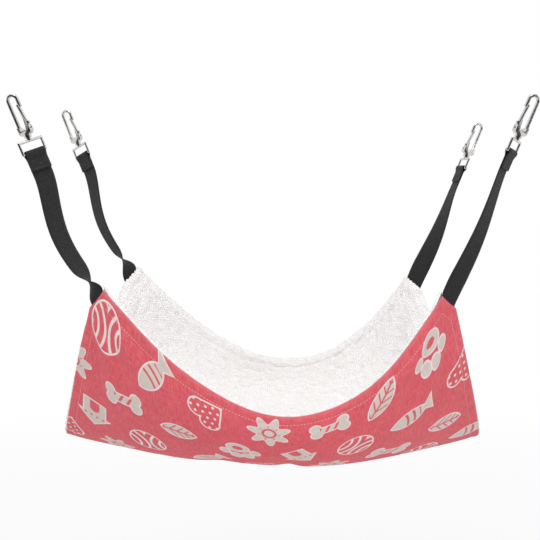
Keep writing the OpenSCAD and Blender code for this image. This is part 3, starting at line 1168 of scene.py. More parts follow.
@dataclass
class HungMat:
    """Two-layer mat in its hung shape, sizes in metres."""

    # Hung form
    length: float = 0.5
    width: float = 0.5
    corner_span_x: float = 0.366
    corner_span_y: float = 0.300
    middle_span_y: float = 0.352
    keel_droop: float = 0.023
    keel_gather: float = 0.015
    edge_shift: float = 0.020
    rear_rise: float = 0.010
    mat_slope: float = 0.004
    corner_cut_x: float = 0.016
    corner_cut_y: float = 0.026
    drop_line: float = 0.2154
    hang_half: Pair = (0.263, 0.155)
    end_round: float = 0.25
    edge_bow: float = 0.15
    belly: float = 0.8
    keel_power: float = 3.4
    side_power: float = 1.2
    gather_power: float = 1.3
    slope_step: float = 0.01
    # Layers and sewn strap ends
    panel_t: float = 0.0009
    panel_step: float = 0.0038
    fleece_t: float = 0.006
    fleece_step: float = 0.0031
    fleece_share: Pair = (0.38, 0.36)
    fleece_round: float = 0.006
    fleece_least: float = 0.0010
    layer_gap: float = 0.0003
    webbing_t: float = 0.0014
    tab_length: float = 0.028
    tab_clear: float = 0.001
    tab_margin: float = 0.012
    tab_fade: float = 1.9
    tab_hem: float = 0.010
    # Edges and seam
    corner_core: float = 0.6
    corner_calm: float = 0.03
    seam_calm: float = 0.016
    seam_calm_share: float = 0.85
    edge_steps_mm: tuple[float, ...] = (
        0.0, 0.5, 1.0, 1.6, 2.3, 3.2, 4.4, 5.8, 7.4, 9.0, 10.6, 12.4, 14.6,
    )
    turn_in: Pair = (0.0020, 0.0007)
    seam_line: float = 0.012
    seam_step: float = 0.003
    stitch_sink: float = 0.00015
    hem_roll: Ridge = Ridge(0.0008, 0.0, 0.0009)
    hem_puff: Ridge = Ridge(-0.00022, 0.0055, 0.0032)
    seam_channel: Ridge = Ridge(0.00028, 0.0, 0.0012)
    hem_ripple: Ridge = Ridge(0.0003, 0.0075, 0.005)
    ripple_pitch: float = 0.021
    lining_roll: Ridge = Ridge(0.0006, 0.0, 0.0022)
    seam_dent: Ridge = Ridge(-0.0007, 0.0, 0.0028)
    # Folds, as heights with wave rates along and across and shifts in radians
    sway: float = 0.0016
    sway_along: Pair = (9.0, 3.0)
    sway_across: Pair = (11.0, 0.6)
    slant: float = 0.0009
    slant_waves: tuple[float, float, float] = (31.0, -17.0, 1.3)
    flutter: float = 0.0020
    flutter_reach: float = 0.04
    flutter_waves: tuple[float, float, float] = (46.0, 2.2, 0.7)
    corner_pull: Ridge = Ridge(0.0017, 0.075, 0.05)
    pull_folds: float = 11.0
    pull_turn: float = 0.62
    pull_shift: float = 0.8
    creases: tuple[tuple[Ridge, Ridge], ...] = (
        (Ridge(0.0032, 0.018, 0.011), Ridge(1.0, -0.075, 0.055)),
        (Ridge(0.0022, -0.060, 0.018), Ridge(1.0, -0.040, 0.07)),
        (Ridge(0.0028, 0.085, 0.015), Ridge(1.0, 0.060, 0.06)),
        (Ridge(0.0030, -0.030, 0.013), Ridge(1.0, 0.085, 0.05)),
    )
    # Lumps and pile of the fleece
    nub_size: float = 0.0085
    nub_height: float = 0.0026
    nub_edge: float = 0.004
    nub_hash: tuple[Pair, ...] = ((127.1, 311.7), (269.5, 183.3))
    nub_hash_gain: float = 43758.5
    pile_bands: int = 7
    pile_sink: float = 0.00055
    pile_seed: int = 11
    corner_z: float = field(init=False)

    def __post_init__(self) -> None:
        """Work out the height of the corners from the straps."""
        mid = (self.shape(self.cut_a - 1, -1.0) + self.shape(-1.0, self.cut_b - 1)) / 2
        run = self.drop_line**2 - (self.hang_half[0] + mid[0]) ** 2 - (self.hang_half[1] + mid[1]) ** 2
        self.corner_z = -math.sqrt(run) - float(mid[2])

    @property
    def cut_a(self) -> float:
        """Corner cut as a share of the half length."""
        return self.corner_cut_x / (self.length / 2)

    @property
    def cut_b(self) -> float:
        """Corner cut as a share of the half width."""
        return self.corner_cut_y / (self.width / 2)

    @property
    def cut_flat(self) -> float:
        """Flat length of a cut corner."""
        return math.hypot(self.corner_cut_x, self.corner_cut_y)

    def shape(self, a: Array | float, b: Array | float) -> Array:
        """Plain hung surface, below the height of its uncut corners.

        Args:
            a: Place along the length, from -1 to 1.
            b: Place across the width, from -1 to 1.

        Returns:
            Points of the outer face.
        """
        a, b = np.asarray(a, float), np.asarray(b, float)
        cx, cy, my = self.corner_span_x / 2, self.corner_span_y / 2, self.middle_span_y / 2
        keel = (self.length - self.keel_gather - 8 * self.keel_droop**2 / (3 * self.length)) / 2
        sag = math.sqrt(3 / 8 * self.corner_span_x * (self.length - self.corner_span_x))
        drop = math.sqrt((self.width / 2) ** 2 - cy**2 - (keel - cx) ** 2)
        t = np.minimum(1.0, np.abs(b))
        bulge = 1 - a * a
        m = self.end_round + (1 - self.end_round) * bulge
        edge_x = cx * a * (1 + self.edge_bow * bulge)
        u = edge_x / cx
        edge_sag = np.where(b > 0, sag - self.rear_rise, sag)
        edge_z = -edge_sag * (1 - u * u) * (1 + 2 * self.edge_shift / cx * u)
        keel_z = -drop - self.keel_droop * (1 - np.abs(a) ** self.keel_power)
        half_y = cy + (my - cy) * bulge
        side_y = (1 - m) * t + m * np.sin(np.pi / 2 * t) ** self.belly
        rise = np.clip(np.cos(np.pi / 2 * t), 0.0, 1.0) ** self.belly
        side_z = (1 - m) * t**self.side_power + m * (1 - rise)
        x = keel * a + (edge_x - keel * a) * t**self.gather_power
        z = keel_z + (edge_z - keel_z) * side_z - self.mat_slope * a * ((1 + b) / 2) ** 2
        return np.stack([x, np.sign(b) * half_y * side_y, z], -1)

    def inward(self, a: Array, b: Array) -> Array:
        """Unit normals that point into the hollow.

        Args:
            a: Place along the length.
            b: Place across the width.

        Returns:
            The normals.
        """
        h = self.slope_step
        along = self.shape(np.minimum(1, a + h), b) - self.shape(np.maximum(-1, a - h), b)
        across = self.shape(a, np.minimum(1, b + h)) - self.shape(a, np.maximum(-1, b - h))
        return unit(np.cross(along, across))

    def lifted(self, a: Array, b: Array, height: Array | float) -> Array:
        """Points at a height above the plain outer face."""
        up = np.asarray(height, float)[..., None] * self.inward(a, b)
        return self.shape(a, b) + np.array([0, 0, self.corner_z]) + up

    def flat_place(self, a: Array, b: Array) -> Places:
        """Flat place from the middle, along and across."""
        return a * self.length / 2, b * self.width / 2

    def insets(self, a: Array, b: Array) -> Places:
        """Flat distances to the nearest end and the nearest side."""
        return (1 - np.abs(a)) * self.length / 2, (1 - np.abs(b)) * self.width / 2

    def edge_distance(self, a: Array, b: Array) -> Array:
        """Flat distance to the nearest edge, cut corners included.

        Args:
            a: Place along the length.
            b: Place across the width.

        Returns:
            The distances.
        """
        u, v = self.insets(a, b)
        cu, cv = self.corner_cut_x, self.corner_cut_y
        return np.maximum(0.0, np.minimum(np.minimum(u, v), (u * cv + v * cu - cu * cv) / self.cut_flat))

    def corner_share(self, a: Array, b: Array, reach: float) -> Array:
        """Mask that is 1 at the cut corners and fades out with flat distance.

        Args:
            a: Place along the length.
            b: Place across the width.
            reach: Distance over which it fades.

        Returns:
            The mask.
        """
        u, v = self.insets(a, b)
        away = np.hypot(u - self.corner_cut_x / 2, v - self.corner_cut_y / 2)
        return 1.0 - ease(away / reach - self.corner_core)

    def hem_share(self, a: Array, b: Array) -> Array:
        """Share of the hem's relief, less where a strap is sewn in."""
        return 1 - self.seam_calm_share * self.corner_share(a, b, self.seam_calm)

    def folds(self, a: Array, b: Array) -> Array:
        """Gentle folds of the cloth, as a height along the inward normal.

        Args:
            a: Place along the length.
            b: Place across the width.

        Returns:
            Heights in metres.
        """
        u, v = self.flat_place(a, b)
        bulge = 1 - a * a
        (rate_u, shift_u), (rate_v, shift_v) = self.sway_along, self.sway_across
        out = self.sway * np.sin(rate_u * u + shift_u) * np.cos(rate_v * v + shift_v) * bulge
        rate_u, rate_v, shift = self.slant_waves
        out += self.slant * np.sin(rate_u * u + rate_v * v + shift) * bulge
        edge = np.exp(-self.insets(a, b)[1] / self.flutter_reach)
        rate_u, by_side, shift = self.flutter_waves
        out += self.flutter * edge * bulge * np.sin(rate_u * u + by_side * np.sign(b) + shift)
        for sx, sy in product((-1, 1), repeat=2):
            du, dv = (1 - sx * a) * self.length / 2, (1 - sy * b) * self.width / 2
            fan = self.pull_folds * (np.arctan2(dv, du + TINY) - self.pull_turn) + sx * self.pull_shift
            out += self.corner_pull.at(np.hypot(du, dv)) * np.cos(fan)
        for along, across in self.creases:
            out += along.at(u) * across.at(v)
        return out

    def put(self, a: Array, b: Array, lift: Array | float) -> Array:
        """Points at a height above the outer face, with the folds.

        Args:
            a: Place along the length.
            b: Place across the width.
            lift: Height along the inward normal.

        Returns:
            The points.
        """
        fade = 1.0 - self.corner_share(a, b, self.corner_calm)
        return self.lifted(a, b, lift + self.folds(a, b) * fade)

    def grid(self, step: float) -> Places:
        """Grid over the cut mat, finer along its edges.

        Args:
            step: Spacing away from the edges.

        Returns:
            The places along and across, as two arrays.
        """
        close = np.array(self.edge_steps_mm) / 1000
        lists = []
        for half in (self.length / 2, self.width / 2):
            inner = half - close[-1]
            plain = np.linspace(0, inner, int(inner / step) + 1)[:-1]
            side = np.concatenate([plain, (half - close)[::-1]]) / half
            lists.append(np.concatenate([-side[:0:-1], side]))
        share, b = np.meshgrid(*lists, indexing="ij")
        over = np.maximum(0.0, (np.abs(b) - (1 - self.cut_b)) / self.cut_b)
        return share * (1 - self.cut_a * over), b

    def sewn_edge(self, a: Array, b: Array) -> Array:
        """Puffed hem, stitched channel and turned edge of the outer panel.

        Args:
            a: Place along the length.
            b: Place across the width.

        Returns:
            Height of the panel's outer face.
        """
        e = self.edge_distance(a, b)
        roll = self.hem_roll.at(e) * self.hem_share(a, b)
        run = (a * self.length + b * self.width) * 0.5
        ripple = self.hem_ripple.at(e) * np.sin(run * 2 * math.pi / self.ripple_pitch)
        return roll + self.hem_puff.at(e) + self.seam_channel.at(e - self.seam_line) + ripple

    def lining_low(self, a: Array, b: Array) -> Array:
        """Height of the lining's lower face, lifted over the sewn strap ends.

        Args:
            a: Place along the length.
            b: Place across the width.

        Returns:
            Heights in metres.
        """
        u, v = self.insets(a, b)
        reach = self.cut_flat / 2 + self.tab_length + self.tab_margin
        near = np.clip(self.tab_fade - np.hypot(u, v) / reach, 0.0, 1.0)
        off_hem = ease(np.minimum(u, v) / self.tab_hem)
        near = near * np.maximum(self.corner_share(a, b, self.seam_calm), off_hem)
        return self.panel_t + self.layer_gap + (self.webbing_t + 2 * self.tab_clear) * near

    def nubs(self, a: Array, b: Array) -> Array:
        """Soft lumps of the fleece's face, one at a scattered place in each cell.

        Args:
            a: Place along the length.
            b: Place across the width.

        Returns:
            Heights in metres.
        """
        u, v = (place / self.nub_size for place in self.flat_place(a, b))
        best = np.ones(a.shape)
        for du, dv in product((-1, 0, 1), repeat=2):
            cu, cv = np.floor(u) + du, np.floor(v) + dv
            waves = (np.sin(cu * p + cv * q) * self.nub_hash_gain for p, q in self.nub_hash)
            hu, hv = (np.modf(np.abs(wave))[0] for wave in waves)
            best = np.minimum(best, np.hypot(u - cu - hu, v - cv - hv))
        return self.nub_height * (1 - best**2) - self.nub_height / 2

    def seam_loop(self, inset: float, lift: float) -> Array:
        """Closed line of points at a distance inside the edge.

        Args:
            inset: Flat distance from the edge.
            lift: Height above the outer face.

        Returns:
            The points, in order.
        """
        hu, hv = self.length / 2 - inset, self.width / 2 - inset
        cu, cv = self.corner_cut_x, self.corner_cut_y
        left = cu * cv + inset * (self.cut_flat - cu - cv)
        cu, cv = left / cv, left / cu
        near = [(hu - cu, -hv), (hu, -hv + cv), (hu, hv - cv), (hu - cu, hv)]
        corners = [(-hu + cu, -hv), *near, *((-x, y) for x, y in near[:0:-1])]
        places = []
        for first, last in zip(np.array(corners), np.array(corners[1:] + corners[:1])):
            count = max(4, int(math.hypot(*(last - first)) / self.seam_step))
            places += [first + (last - first) * (k / count) for k in range(count)]
        x, y = np.array(places).T
        a, b = x / (self.length / 2), y / (self.width / 2)
        return self.put(a, b, self.sewn_edge(a, b) + lift)

    def corner_place(self, sides: tuple[int, int], q: Array, w: Array, lift: float) -> Array:
        """Points inside a corner.

        Args:
            sides: Sides along and across, -1 or 1.
            q: Distances from the seam into the mat.
            w: Distances along the seam.
            lift: Height above the outer face.

        Returns:
            The points.
        """
        chord = np.linalg.norm(self.shape(self.cut_a - 1, -1.0) - self.shape(-1.0, self.cut_b - 1))
        w = w * self.cut_flat / float(chord)
        cu, cv = self.corner_cut_x, self.corner_cut_y
        a = sides[0] * (1 - (cu / 2 + (q * cv - w * cu) / self.cut_flat) / (self.length / 2))
        b = sides[1] * (1 - (cv / 2 + (q * cu + w * cv) / self.cut_flat) / (self.width / 2))
        return self.lifted(a, b, lift)

    def shell(self, name: str, grid: Places, low: Array, high: Array, cloth: Material) -> Object:
        """Closed cloth shell between two heights.

        Args:
            name: Name of the piece.
            grid: Places along and across.
            low: Heights of the outer face.
            high: Heights of the inner face.
            cloth: Its material.

        Returns:
            The piece, with its flat map and edge distance.
        """
        flat = np.stack(grid, -1) / 2 + 0.5
        mesh = closed_shell(self.put(*grid, low), self.put(*grid, high), flat)
        edge = np.tile(self.edge_distance(*grid).reshape(-1), 2)
        mesh.attributes.new("edge", "FLOAT", "POINT").data.foreach_set("value", edge)
        return new_object(name, mesh, cloth)

    def build(self, cloths: Cloths, growth: Growth) -> None:
        """Make the panel, the lining, its pile and the top stitching.

        Args:
            cloths: The finishes.
            growth: The geometry trees.
        """
        self._panel(cloths, growth)
        self._lining(cloths, growth)

    def _panel(self, cloths: Cloths, growth: Growth) -> None:
        """Make the printed panel and its top stitching.

        Args:
            cloths: The finishes.
            growth: The geometry trees.
        """
        a, b = self.grid(self.panel_step)
        a, b = a * (1 - self.turn_in[0] / self.length * 2), b * (1 - self.turn_in[1] / self.width * 2)
        low = self.sewn_edge(a, b)
        panel = self.shell("canvas_panel", (a, b), low, low + self.panel_t, cloths.canvas)
        line = self.seam_loop(self.seam_line, -self.stitch_sink)
        count = len(line)
        carrier = mesh_from(line, edges=[(i, (i + 1) % count) for i in range(count)])
        stitch = grown("top_stitching", carrier, growth.stitches, cloths.thread)
        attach(panel, "mat")
        declare(panel, "printed_canvas", "outer_panel")
        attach(stitch, "mat")
        declare(stitch, "fleece")

    def _lining(self, cloths: Cloths, growth: Growth) -> None:
        """Make the lining and the pile on it, which goes round its edge.

        Args:
            cloths: The finishes.
            growth: The geometry trees.
        """
        a, b = self.grid(self.fleece_step)
        e = self.edge_distance(a, b)
        base = self.lining_low(a, b)
        low = base + self.lining_roll.at(e) * self.hem_share(a, b)
        low = np.maximum(low, self.sewn_edge(a, b) + self.panel_t + self.layer_gap)
        thin, full = self.fleece_share
        crown = np.sqrt(np.clip(1 - (1 - np.minimum(e / self.fleece_round, 1.0)) ** 2, 0, 1))
        nubs = self.nubs(a, b) * np.minimum(1, e / self.nub_edge)
        dent = self.seam_dent.at(e - self.seam_line)
        high = base + self.fleece_t * (thin + full * crown) + dent + nubs
        high = np.maximum(low + self.fleece_least, high)
        lining = self.shell("fleece_lining_cloth", (a, b), low, high, cloths.fleece)
        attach(lining, "mat")
        declare(lining, "fleece", "fleece_lining")
        skin = np.pad(self.put(a, b, (low + high) / 2), ((1, 1), (1, 1), (0, 0)), mode="edge")
        skin[1:-1, 1:-1] = self.put(a, b, high - self.pile_sink)
        for number, band in enumerate(np.array_split(np.arange(len(skin) - 1), self.pile_bands)):
            part = skin[band[0] : band[-1] + 2]
            mesh = mesh_from(part.reshape(-1, 3), grid_faces(*part.shape[:2], 0, False))
            seed = self.pile_seed + number
            made = grown(f"fleece_pile_{number + 1}", mesh, growth.pile, cloths.pile, Seed=seed)
            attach(made, "mat")
            declare(made, "fleece")


# Straps


class Corner(Enum):
    """The mat's corners with their sides along and across."""

    FRONT_LEFT = ("front_left", -1, -1)
    FRONT_RIGHT = ("front_right", 1, -1)
    REAR_LEFT = ("rear_left", -1, 1)
    REAR_RIGHT = ("rear_right", 1, 1)

    @property
    def label(self) -> str:
        """Name used in the part's nodes."""
        return self.value[0]

    @property
    def sides(self) -> tuple[int, int]:
        """Sides along and across."""
        return self.value[1], self.value[2]


@dataclass
class WebbingStrap:
    """One strap: sewn end, free length, loop round the eye's bar and folded tail."""

    corner: Corner
    mat: HungMat
    joints: dict[str, dict[str, Any]]
    width: float = 0.025
    thick: float = 0.0014
    tail: float = 0.019
    bar_r: float = 0.0015
    bar_clear: float = 0.0004
    ply_gap: float = 0.00015
    pinch: float = 2.6
    bow_left: float = 0.010
    bow_right: float = 0.003
    free_start: float = 0.002
    ply_fade: int = 6
    lean_from: float = 0.75
    sewn_start: float = 0.0005
    sewn_width: float = 0.96
    seam_narrow: Ridge = Ridge(0.04, 1.0, 0.12)
    seam_probe: float = 0.004
    way_probe: float = 0.01
    bend: Pair = (0.001, 0.009)
    twist_end: float = 0.93
    early_twist: Pair = (0.12, 0.72)
    late_twist: Pair = (0.68, 1.8)
    lip_t: float = 0.45
    selvage_t: float = 1.08
    middle_t: float = 0.96
    selvage_from: float = 0.78
    across_steps: int = 10
    ply_steps: int = 8
    loop_steps: int = 17
    free_steps: int = 72
    sewn_steps: int = 14
    box_top: float = 0.0085
    box_inset: Pair = (0.003, 0.002)
    box_lift: float = 0.0001
    box_steps: int = 8
    stitch_pitch: float = 0.0027
    stitch_length: float = 0.0021
    stitch_thread: float = 0.0003
    flex: Array = field(init=False)
    flex_axis: Array = field(init=False)
    bar: Array = field(init=False)
    bar_axis: Array = field(init=False)
    down: Array = field(init=False)
    side: Array = field(init=False)
    seam_out: Array = field(init=False)
    end_way: Array = field(init=False)
    lift: float = field(init=False)
    twist: float = field(init=False)

    def __post_init__(self) -> None:
        """Read the strap's lines from the part's joints."""
        swing, pivot, swivel = (
            self.joints[kind + self.corner.label] for kind in ("strap_swing_", "eye_pivot_", "hook_swivel_")
        )
        self.flex = np.array(swing["pos_m"])
        self.flex_axis = unit(np.array(swing["axis"]))
        self.bar = np.array(pivot["pos_m"])
        self.bar_axis = unit(np.array(pivot["axis"]))
        self.down = -unit(np.array(swivel["axis"]))
        self.side = np.cross(self.bar_axis, self.down)
        self.lift = self.mat.panel_t + self.mat.tab_clear + self.thick / 2
        probe = np.array([0.0, self.seam_probe])
        near = self.mat.corner_place(self.corner.sides, probe, np.zeros(2), self.lift)
        out = near[0] - near[1]
        self.seam_out = unit(out - self.flex_axis * np.dot(out, self.flex_axis))
        self.twist = self.full_twist()
        self.end_way = self.flex_axis * np.sign(np.dot(self.flex_axis, self.turned(self.twist)))

    @property
    def ply(self) -> float:
        """Distance of the folded tail's two layers from their middle."""
        return self.thick / 2 + self.ply_gap

    def turned(self, angle: float) -> Array:
        """Bar direction turned about the strap's line.

        Args:
            angle: Turn in radians.

        Returns:
            The direction.
        """
        v, k = self.bar_axis, self.down
        cosine, sine = math.cos(angle), math.sin(angle)
        return v * cosine + np.cross(k, v) * sine + k * np.dot(k, v) * (1 - cosine)

    def full_twist(self) -> float:
        """Turn of the webbing from the bar to the seam; the left straps turn the long way round.

        Returns:
            The turn in radians.
        """
        level = unit(self.flex_axis - self.down * np.dot(self.down, self.flex_axis))
        turn = math.atan2(np.dot(np.cross(self.bar_axis, level), self.down), np.dot(self.bar_axis, level))
        if abs(turn) > math.pi / 2:
            turn -= math.copysign(math.pi, turn)
        if self.corner.sides[0] < 0:
            turn += -math.pi if turn > 0 else math.pi
        return turn

    def twist_share(self, s: float) -> float:
        """Share of the twist reached at a share of the free length.

        Args:
            s: Share of the free length from the bar.

        Returns:
            The share, which rises evenly on the right and late on the left.
        """
        if self.corner.sides[0] > 0:
            return float(ease(s / self.twist_end))
        early, end = self.early_twist
        start, power = self.late_twist
        late = max(0.0, (s - start) / (1 - start)) ** power
        return early * min(1.0, s / end) + (1 - early) * float(ease(late))

    def _loop(self) -> list[Ring]:
        """Rings of the folded tail, the loop round the bar and the layer in front of the tail.

        Returns:
            Centres and width directions.
        """
        loop = self.bar_r + self.bar_clear + self.thick / 2
        pinch = loop * self.pinch
        folded = [(s, self.ply) for s in np.linspace(self.tail, pinch, self.ply_steps)]
        folded += [(pinch * s, self.ply + (loop - self.ply) * float(ease(1 - s))) for s in (0.75, 0.5, 0.25)]
        turns = np.linspace(0, math.pi, self.loop_steps)
        places = [(along, -off) for along, off in folded]
        places += [(-loop * math.sin(turn), -loop * math.cos(turn)) for turn in turns]
        places += folded[::-1]
        return [(self.bar + self.down * along + self.side * off, self.bar_axis) for along, off in places]

    def _free(self) -> list[Ring]:
        """Rings of the free length, which bows and twists to the seam.

        Returns:
            Centres and width directions.
        """
        start = self.bar + self.down * (self.tail + self.free_start)
        run = self.flex - start
        lean = float(np.dot(self.end_way, self.down))
        tilt = lean / math.sqrt(1 - lean * lean)
        bow_way = np.array([self.corner.sides[0], 0.0, 0.0])
        bow_way = unit(bow_way - self.down * np.dot(self.down, bow_way))
        bow = self.bow_left if self.corner.sides[0] < 0 else self.bow_right
        rings = []
        for s in np.linspace(0, 1, self.free_steps):
            # The bow leaves both ends straight and is fullest in the middle
            swell = bow_way * bow * 16 * s * s * (1 - s) ** 2
            centre = start + run * s + self.side * self.ply * (1 - s) ** self.ply_fade + swell
            leaning = float(ease((s - self.lean_from) / (1 - self.lean_from)))
            way = self.turned(self.twist * self.twist_share(s)) + self.down * tilt * leaning
            rings.append((centre, unit(way)))
        return rings

    def _sewn(self) -> list[Ring]:
        """Rings of the end that is sewn between the mat's layers.

        Returns:
            Centres and width directions.
        """
        rings = []
        offsets = np.array([0.0, self.way_probe, -self.way_probe])
        for q in np.linspace(self.sewn_start, self.mat.tab_length, self.sewn_steps):
            centre, one, other = self.mat.corner_place(self.corner.sides, np.full(3, q), offsets, self.lift)
            way = unit(one - other)
            rings.append((centre, way * np.sign(np.dot(way, self.end_way))))
        return rings

    def build(self, cloths: Cloths, growth: Growth) -> None:
        """Make the webbing, thicker along its edges, and its stitching.

        Args:
            cloths: The finishes.
            growth: The geometry trees.
        """
        centres, ways = (np.array(part) for part in zip(*self._loop(), *self._free(), *self._sewn()))
        count = len(centres)
        normal = unit(np.cross(unit(np.gradient(centres, axis=0)), ways))
        share = np.linspace(-1, 1, self.across_steps + 1)
        flank = np.where(np.abs(share) > self.selvage_from, self.selvage_t, self.middle_t)
        flank[[0, -1]] = self.lip_t
        half_t = self.thick / 2 * flank
        narrow = 1 - self.seam_narrow.at(np.linspace(0, 1, count))
        sewn = np.where(np.arange(count) >= count - self.sewn_steps, self.sewn_width, 1.0)
        across = (share * self.width / 2) * narrow[:, None]
        middle = centres[:, None] + ways[:, None] * across[..., None] * sewn[:, None, None]
        rise = normal[:, None] * half_t[:, None]
        run = np.concatenate([[0.0], np.cumsum(np.linalg.norm(np.diff(centres, axis=0), axis=1))])
        flat = np.stack(np.broadcast_arrays(share / 2 + 0.5, (run / WebbingFinish.length)[:, None]), -1)
        mesh = closed_shell(middle + rise, middle - rise, flat)
        with editing(mesh, mesh) as work:
            bmesh.ops.recalc_face_normals(work, faces=work.faces)
        name = self.corner.label
        strap = new_object("webbing_" + name, mesh, cloths.webbing)
        declare(strap, "webbing", "strap_" + name, "strap_tab_" + name)
        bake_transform(strap)
        self._tail_stitching(cloths, growth)
        LOG.info("%s: twist %.0f degrees, length %.3f m", strap.name, math.degrees(self.twist), run[-1])

    def _tail_stitching(self, cloths: Cloths, growth: Growth) -> None:
        """Sew the folded tail with a crossed box, on both faces.

        Args:
            cloths: The finishes.
            growth: The geometry trees.
        """
        high, low, half = self.box_top, self.tail - self.box_inset[1], self.width / 2 - self.box_inset[0]
        round_box = [(-half, high), (half, high), (half, low), (-half, low)]
        box = np.array([*round_box, (-half, high), (half, low), (-half, low), (half, high)])
        points: list[Array] = []
        edges: list[tuple[int, int]] = []
        for face in (-1, 1):
            off = self.side * (face * (self.thick + self.box_lift))
            first = len(points)
            for one, other in zip(box[:-1], box[1:]):
                for s in np.linspace(0, 1, self.box_steps + 1)[:-1]:
                    x, y = one + (other - one) * s
                    points.append(self.bar + self.bar_axis * x + self.down * y + off)
            edges += [(k, k + 1) for k in range(first, len(points) - 1)]
        name = self.corner.label
        carrier = mesh_from(np.array(points), edges=edges)
        sizes = {"Pitch": self.stitch_pitch, "Length": self.stitch_length, "Thread": self.stitch_thread}
        made = grown("tail_stitching_" + name, carrier, growth.stitches, cloths.dark_thread, **sizes)
        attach(made, "strap_" + name)
        declare(made, "webbing")


# Hooks


@dataclass
class SnapHook:
    """One swivel snap hook: softened copies of its solids with plated metal."""

    corner: Corner
    nodes: dict[str, Object]
    plate: Material
    steel: Material
    flat_within: float = math.radians(0.8)
    round_over: float = math.radians(34)
    crisp_over: float = math.radians(40)
    leaf_cuts: int = 4

    def softened(self, node: str, name: str, material: Material, bevel: float) -> Object:
        """Copy a solid and round its edges.

        Args:
            node: The solid's node.
            name: Name of the piece.
            material: Its finish.
            bevel: Width of the rounding.

        Returns:
            The finished piece.
        """
        mesh = bpy.data.meshes.new(name)
        with editing(self.nodes[node].data, mesh) as work:
            bmesh.ops.remove_doubles(work, verts=work.verts, dist=MERGE_WITHIN)
            bmesh.ops.dissolve_limit(work, angle_limit=self.flat_within, verts=work.verts, edges=work.edges)
        holder = new_object(name + "_rough", mesh)
        round_off = holder.modifiers.new("round", "BEVEL")
        round_off.width = bevel
        round_off.segments = 2
        round_off.limit_method = "ANGLE"
        round_off.angle_limit = self.round_over
        round_off.use_clamp_overlap = True
        done = finished_mesh(holder)
        with editing(done, done) as work:
            bmesh.ops.dissolve_degenerate(work, dist=MERGE_WITHIN, edges=work.edges)
        done.shade_smooth()
        done.set_sharp_from_angle(angle=self.crisp_over)
        return new_object(name, done, material)

    def build(self, joints: dict[str, dict[str, Any]]) -> None:
        """Dress the hook body, gate, pin, eye and spring.

        Args:
            joints: The part's joints by name.
        """
        name = self.corner.label
        pieces = (
            ("hook_body_", "hook_", self.plate, 0.0005, "nickel_plate"),
            ("gate_", "gate_", self.plate, 0.00035, "nickel_plate"),
            ("gate_pin_", "hook_", self.steel, 0.0002, "spring_steel"),
            ("swivel_eye_", "eye_", self.plate, 0.0003, "nickel_plate"),
        )
        for node, body, finish, bevel, slot in pieces:
            piece = self.softened(node + name, "plated_" + node + name, finish, bevel)
            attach(piece, body + name)
            declare(piece, slot, node + name)
        self._leaf(Vector(joints["hook_swivel_" + name]["axis"]))

    def _leaf(self, up: Vector) -> None:
        """Make the leaf spring.

        Args:
            up: Direction of the hook's swivel.
        """
        name = self.corner.label
        mesh = bpy.data.meshes.new("leaf")
        with editing(self.nodes["gate_spring_" + name].data, mesh) as work:
            bmesh.ops.remove_doubles(work, verts=work.verts, dist=MERGE_WITHIN)
            bmesh.ops.subdivide_edges(work, edges=work.edges[:], cuts=self.leaf_cuts, use_grid_fill=True)
            bmesh.ops.triangulate(work, faces=work.faces[:])
        leaf = new_object("leaf_spring_" + name, mesh, self.steel)
        levels = [vertex.co.dot(up) for vertex in mesh.vertices]
        middle = sum((vertex.co for vertex in mesh.vertices), Vector()) / len(mesh.vertices)
        low, high = (middle + up * (level - middle.dot(up)) for level in (min(levels), max(levels)))
        declare(leaf, "spring_steel", "gate_spring_" + name)
        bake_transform(leaf)


# Studio


@dataclass(frozen=True)
class Lamp:
    """One square lamp."""

    name: str
    place: tuple[float, float, float]
    size: float
    power: float


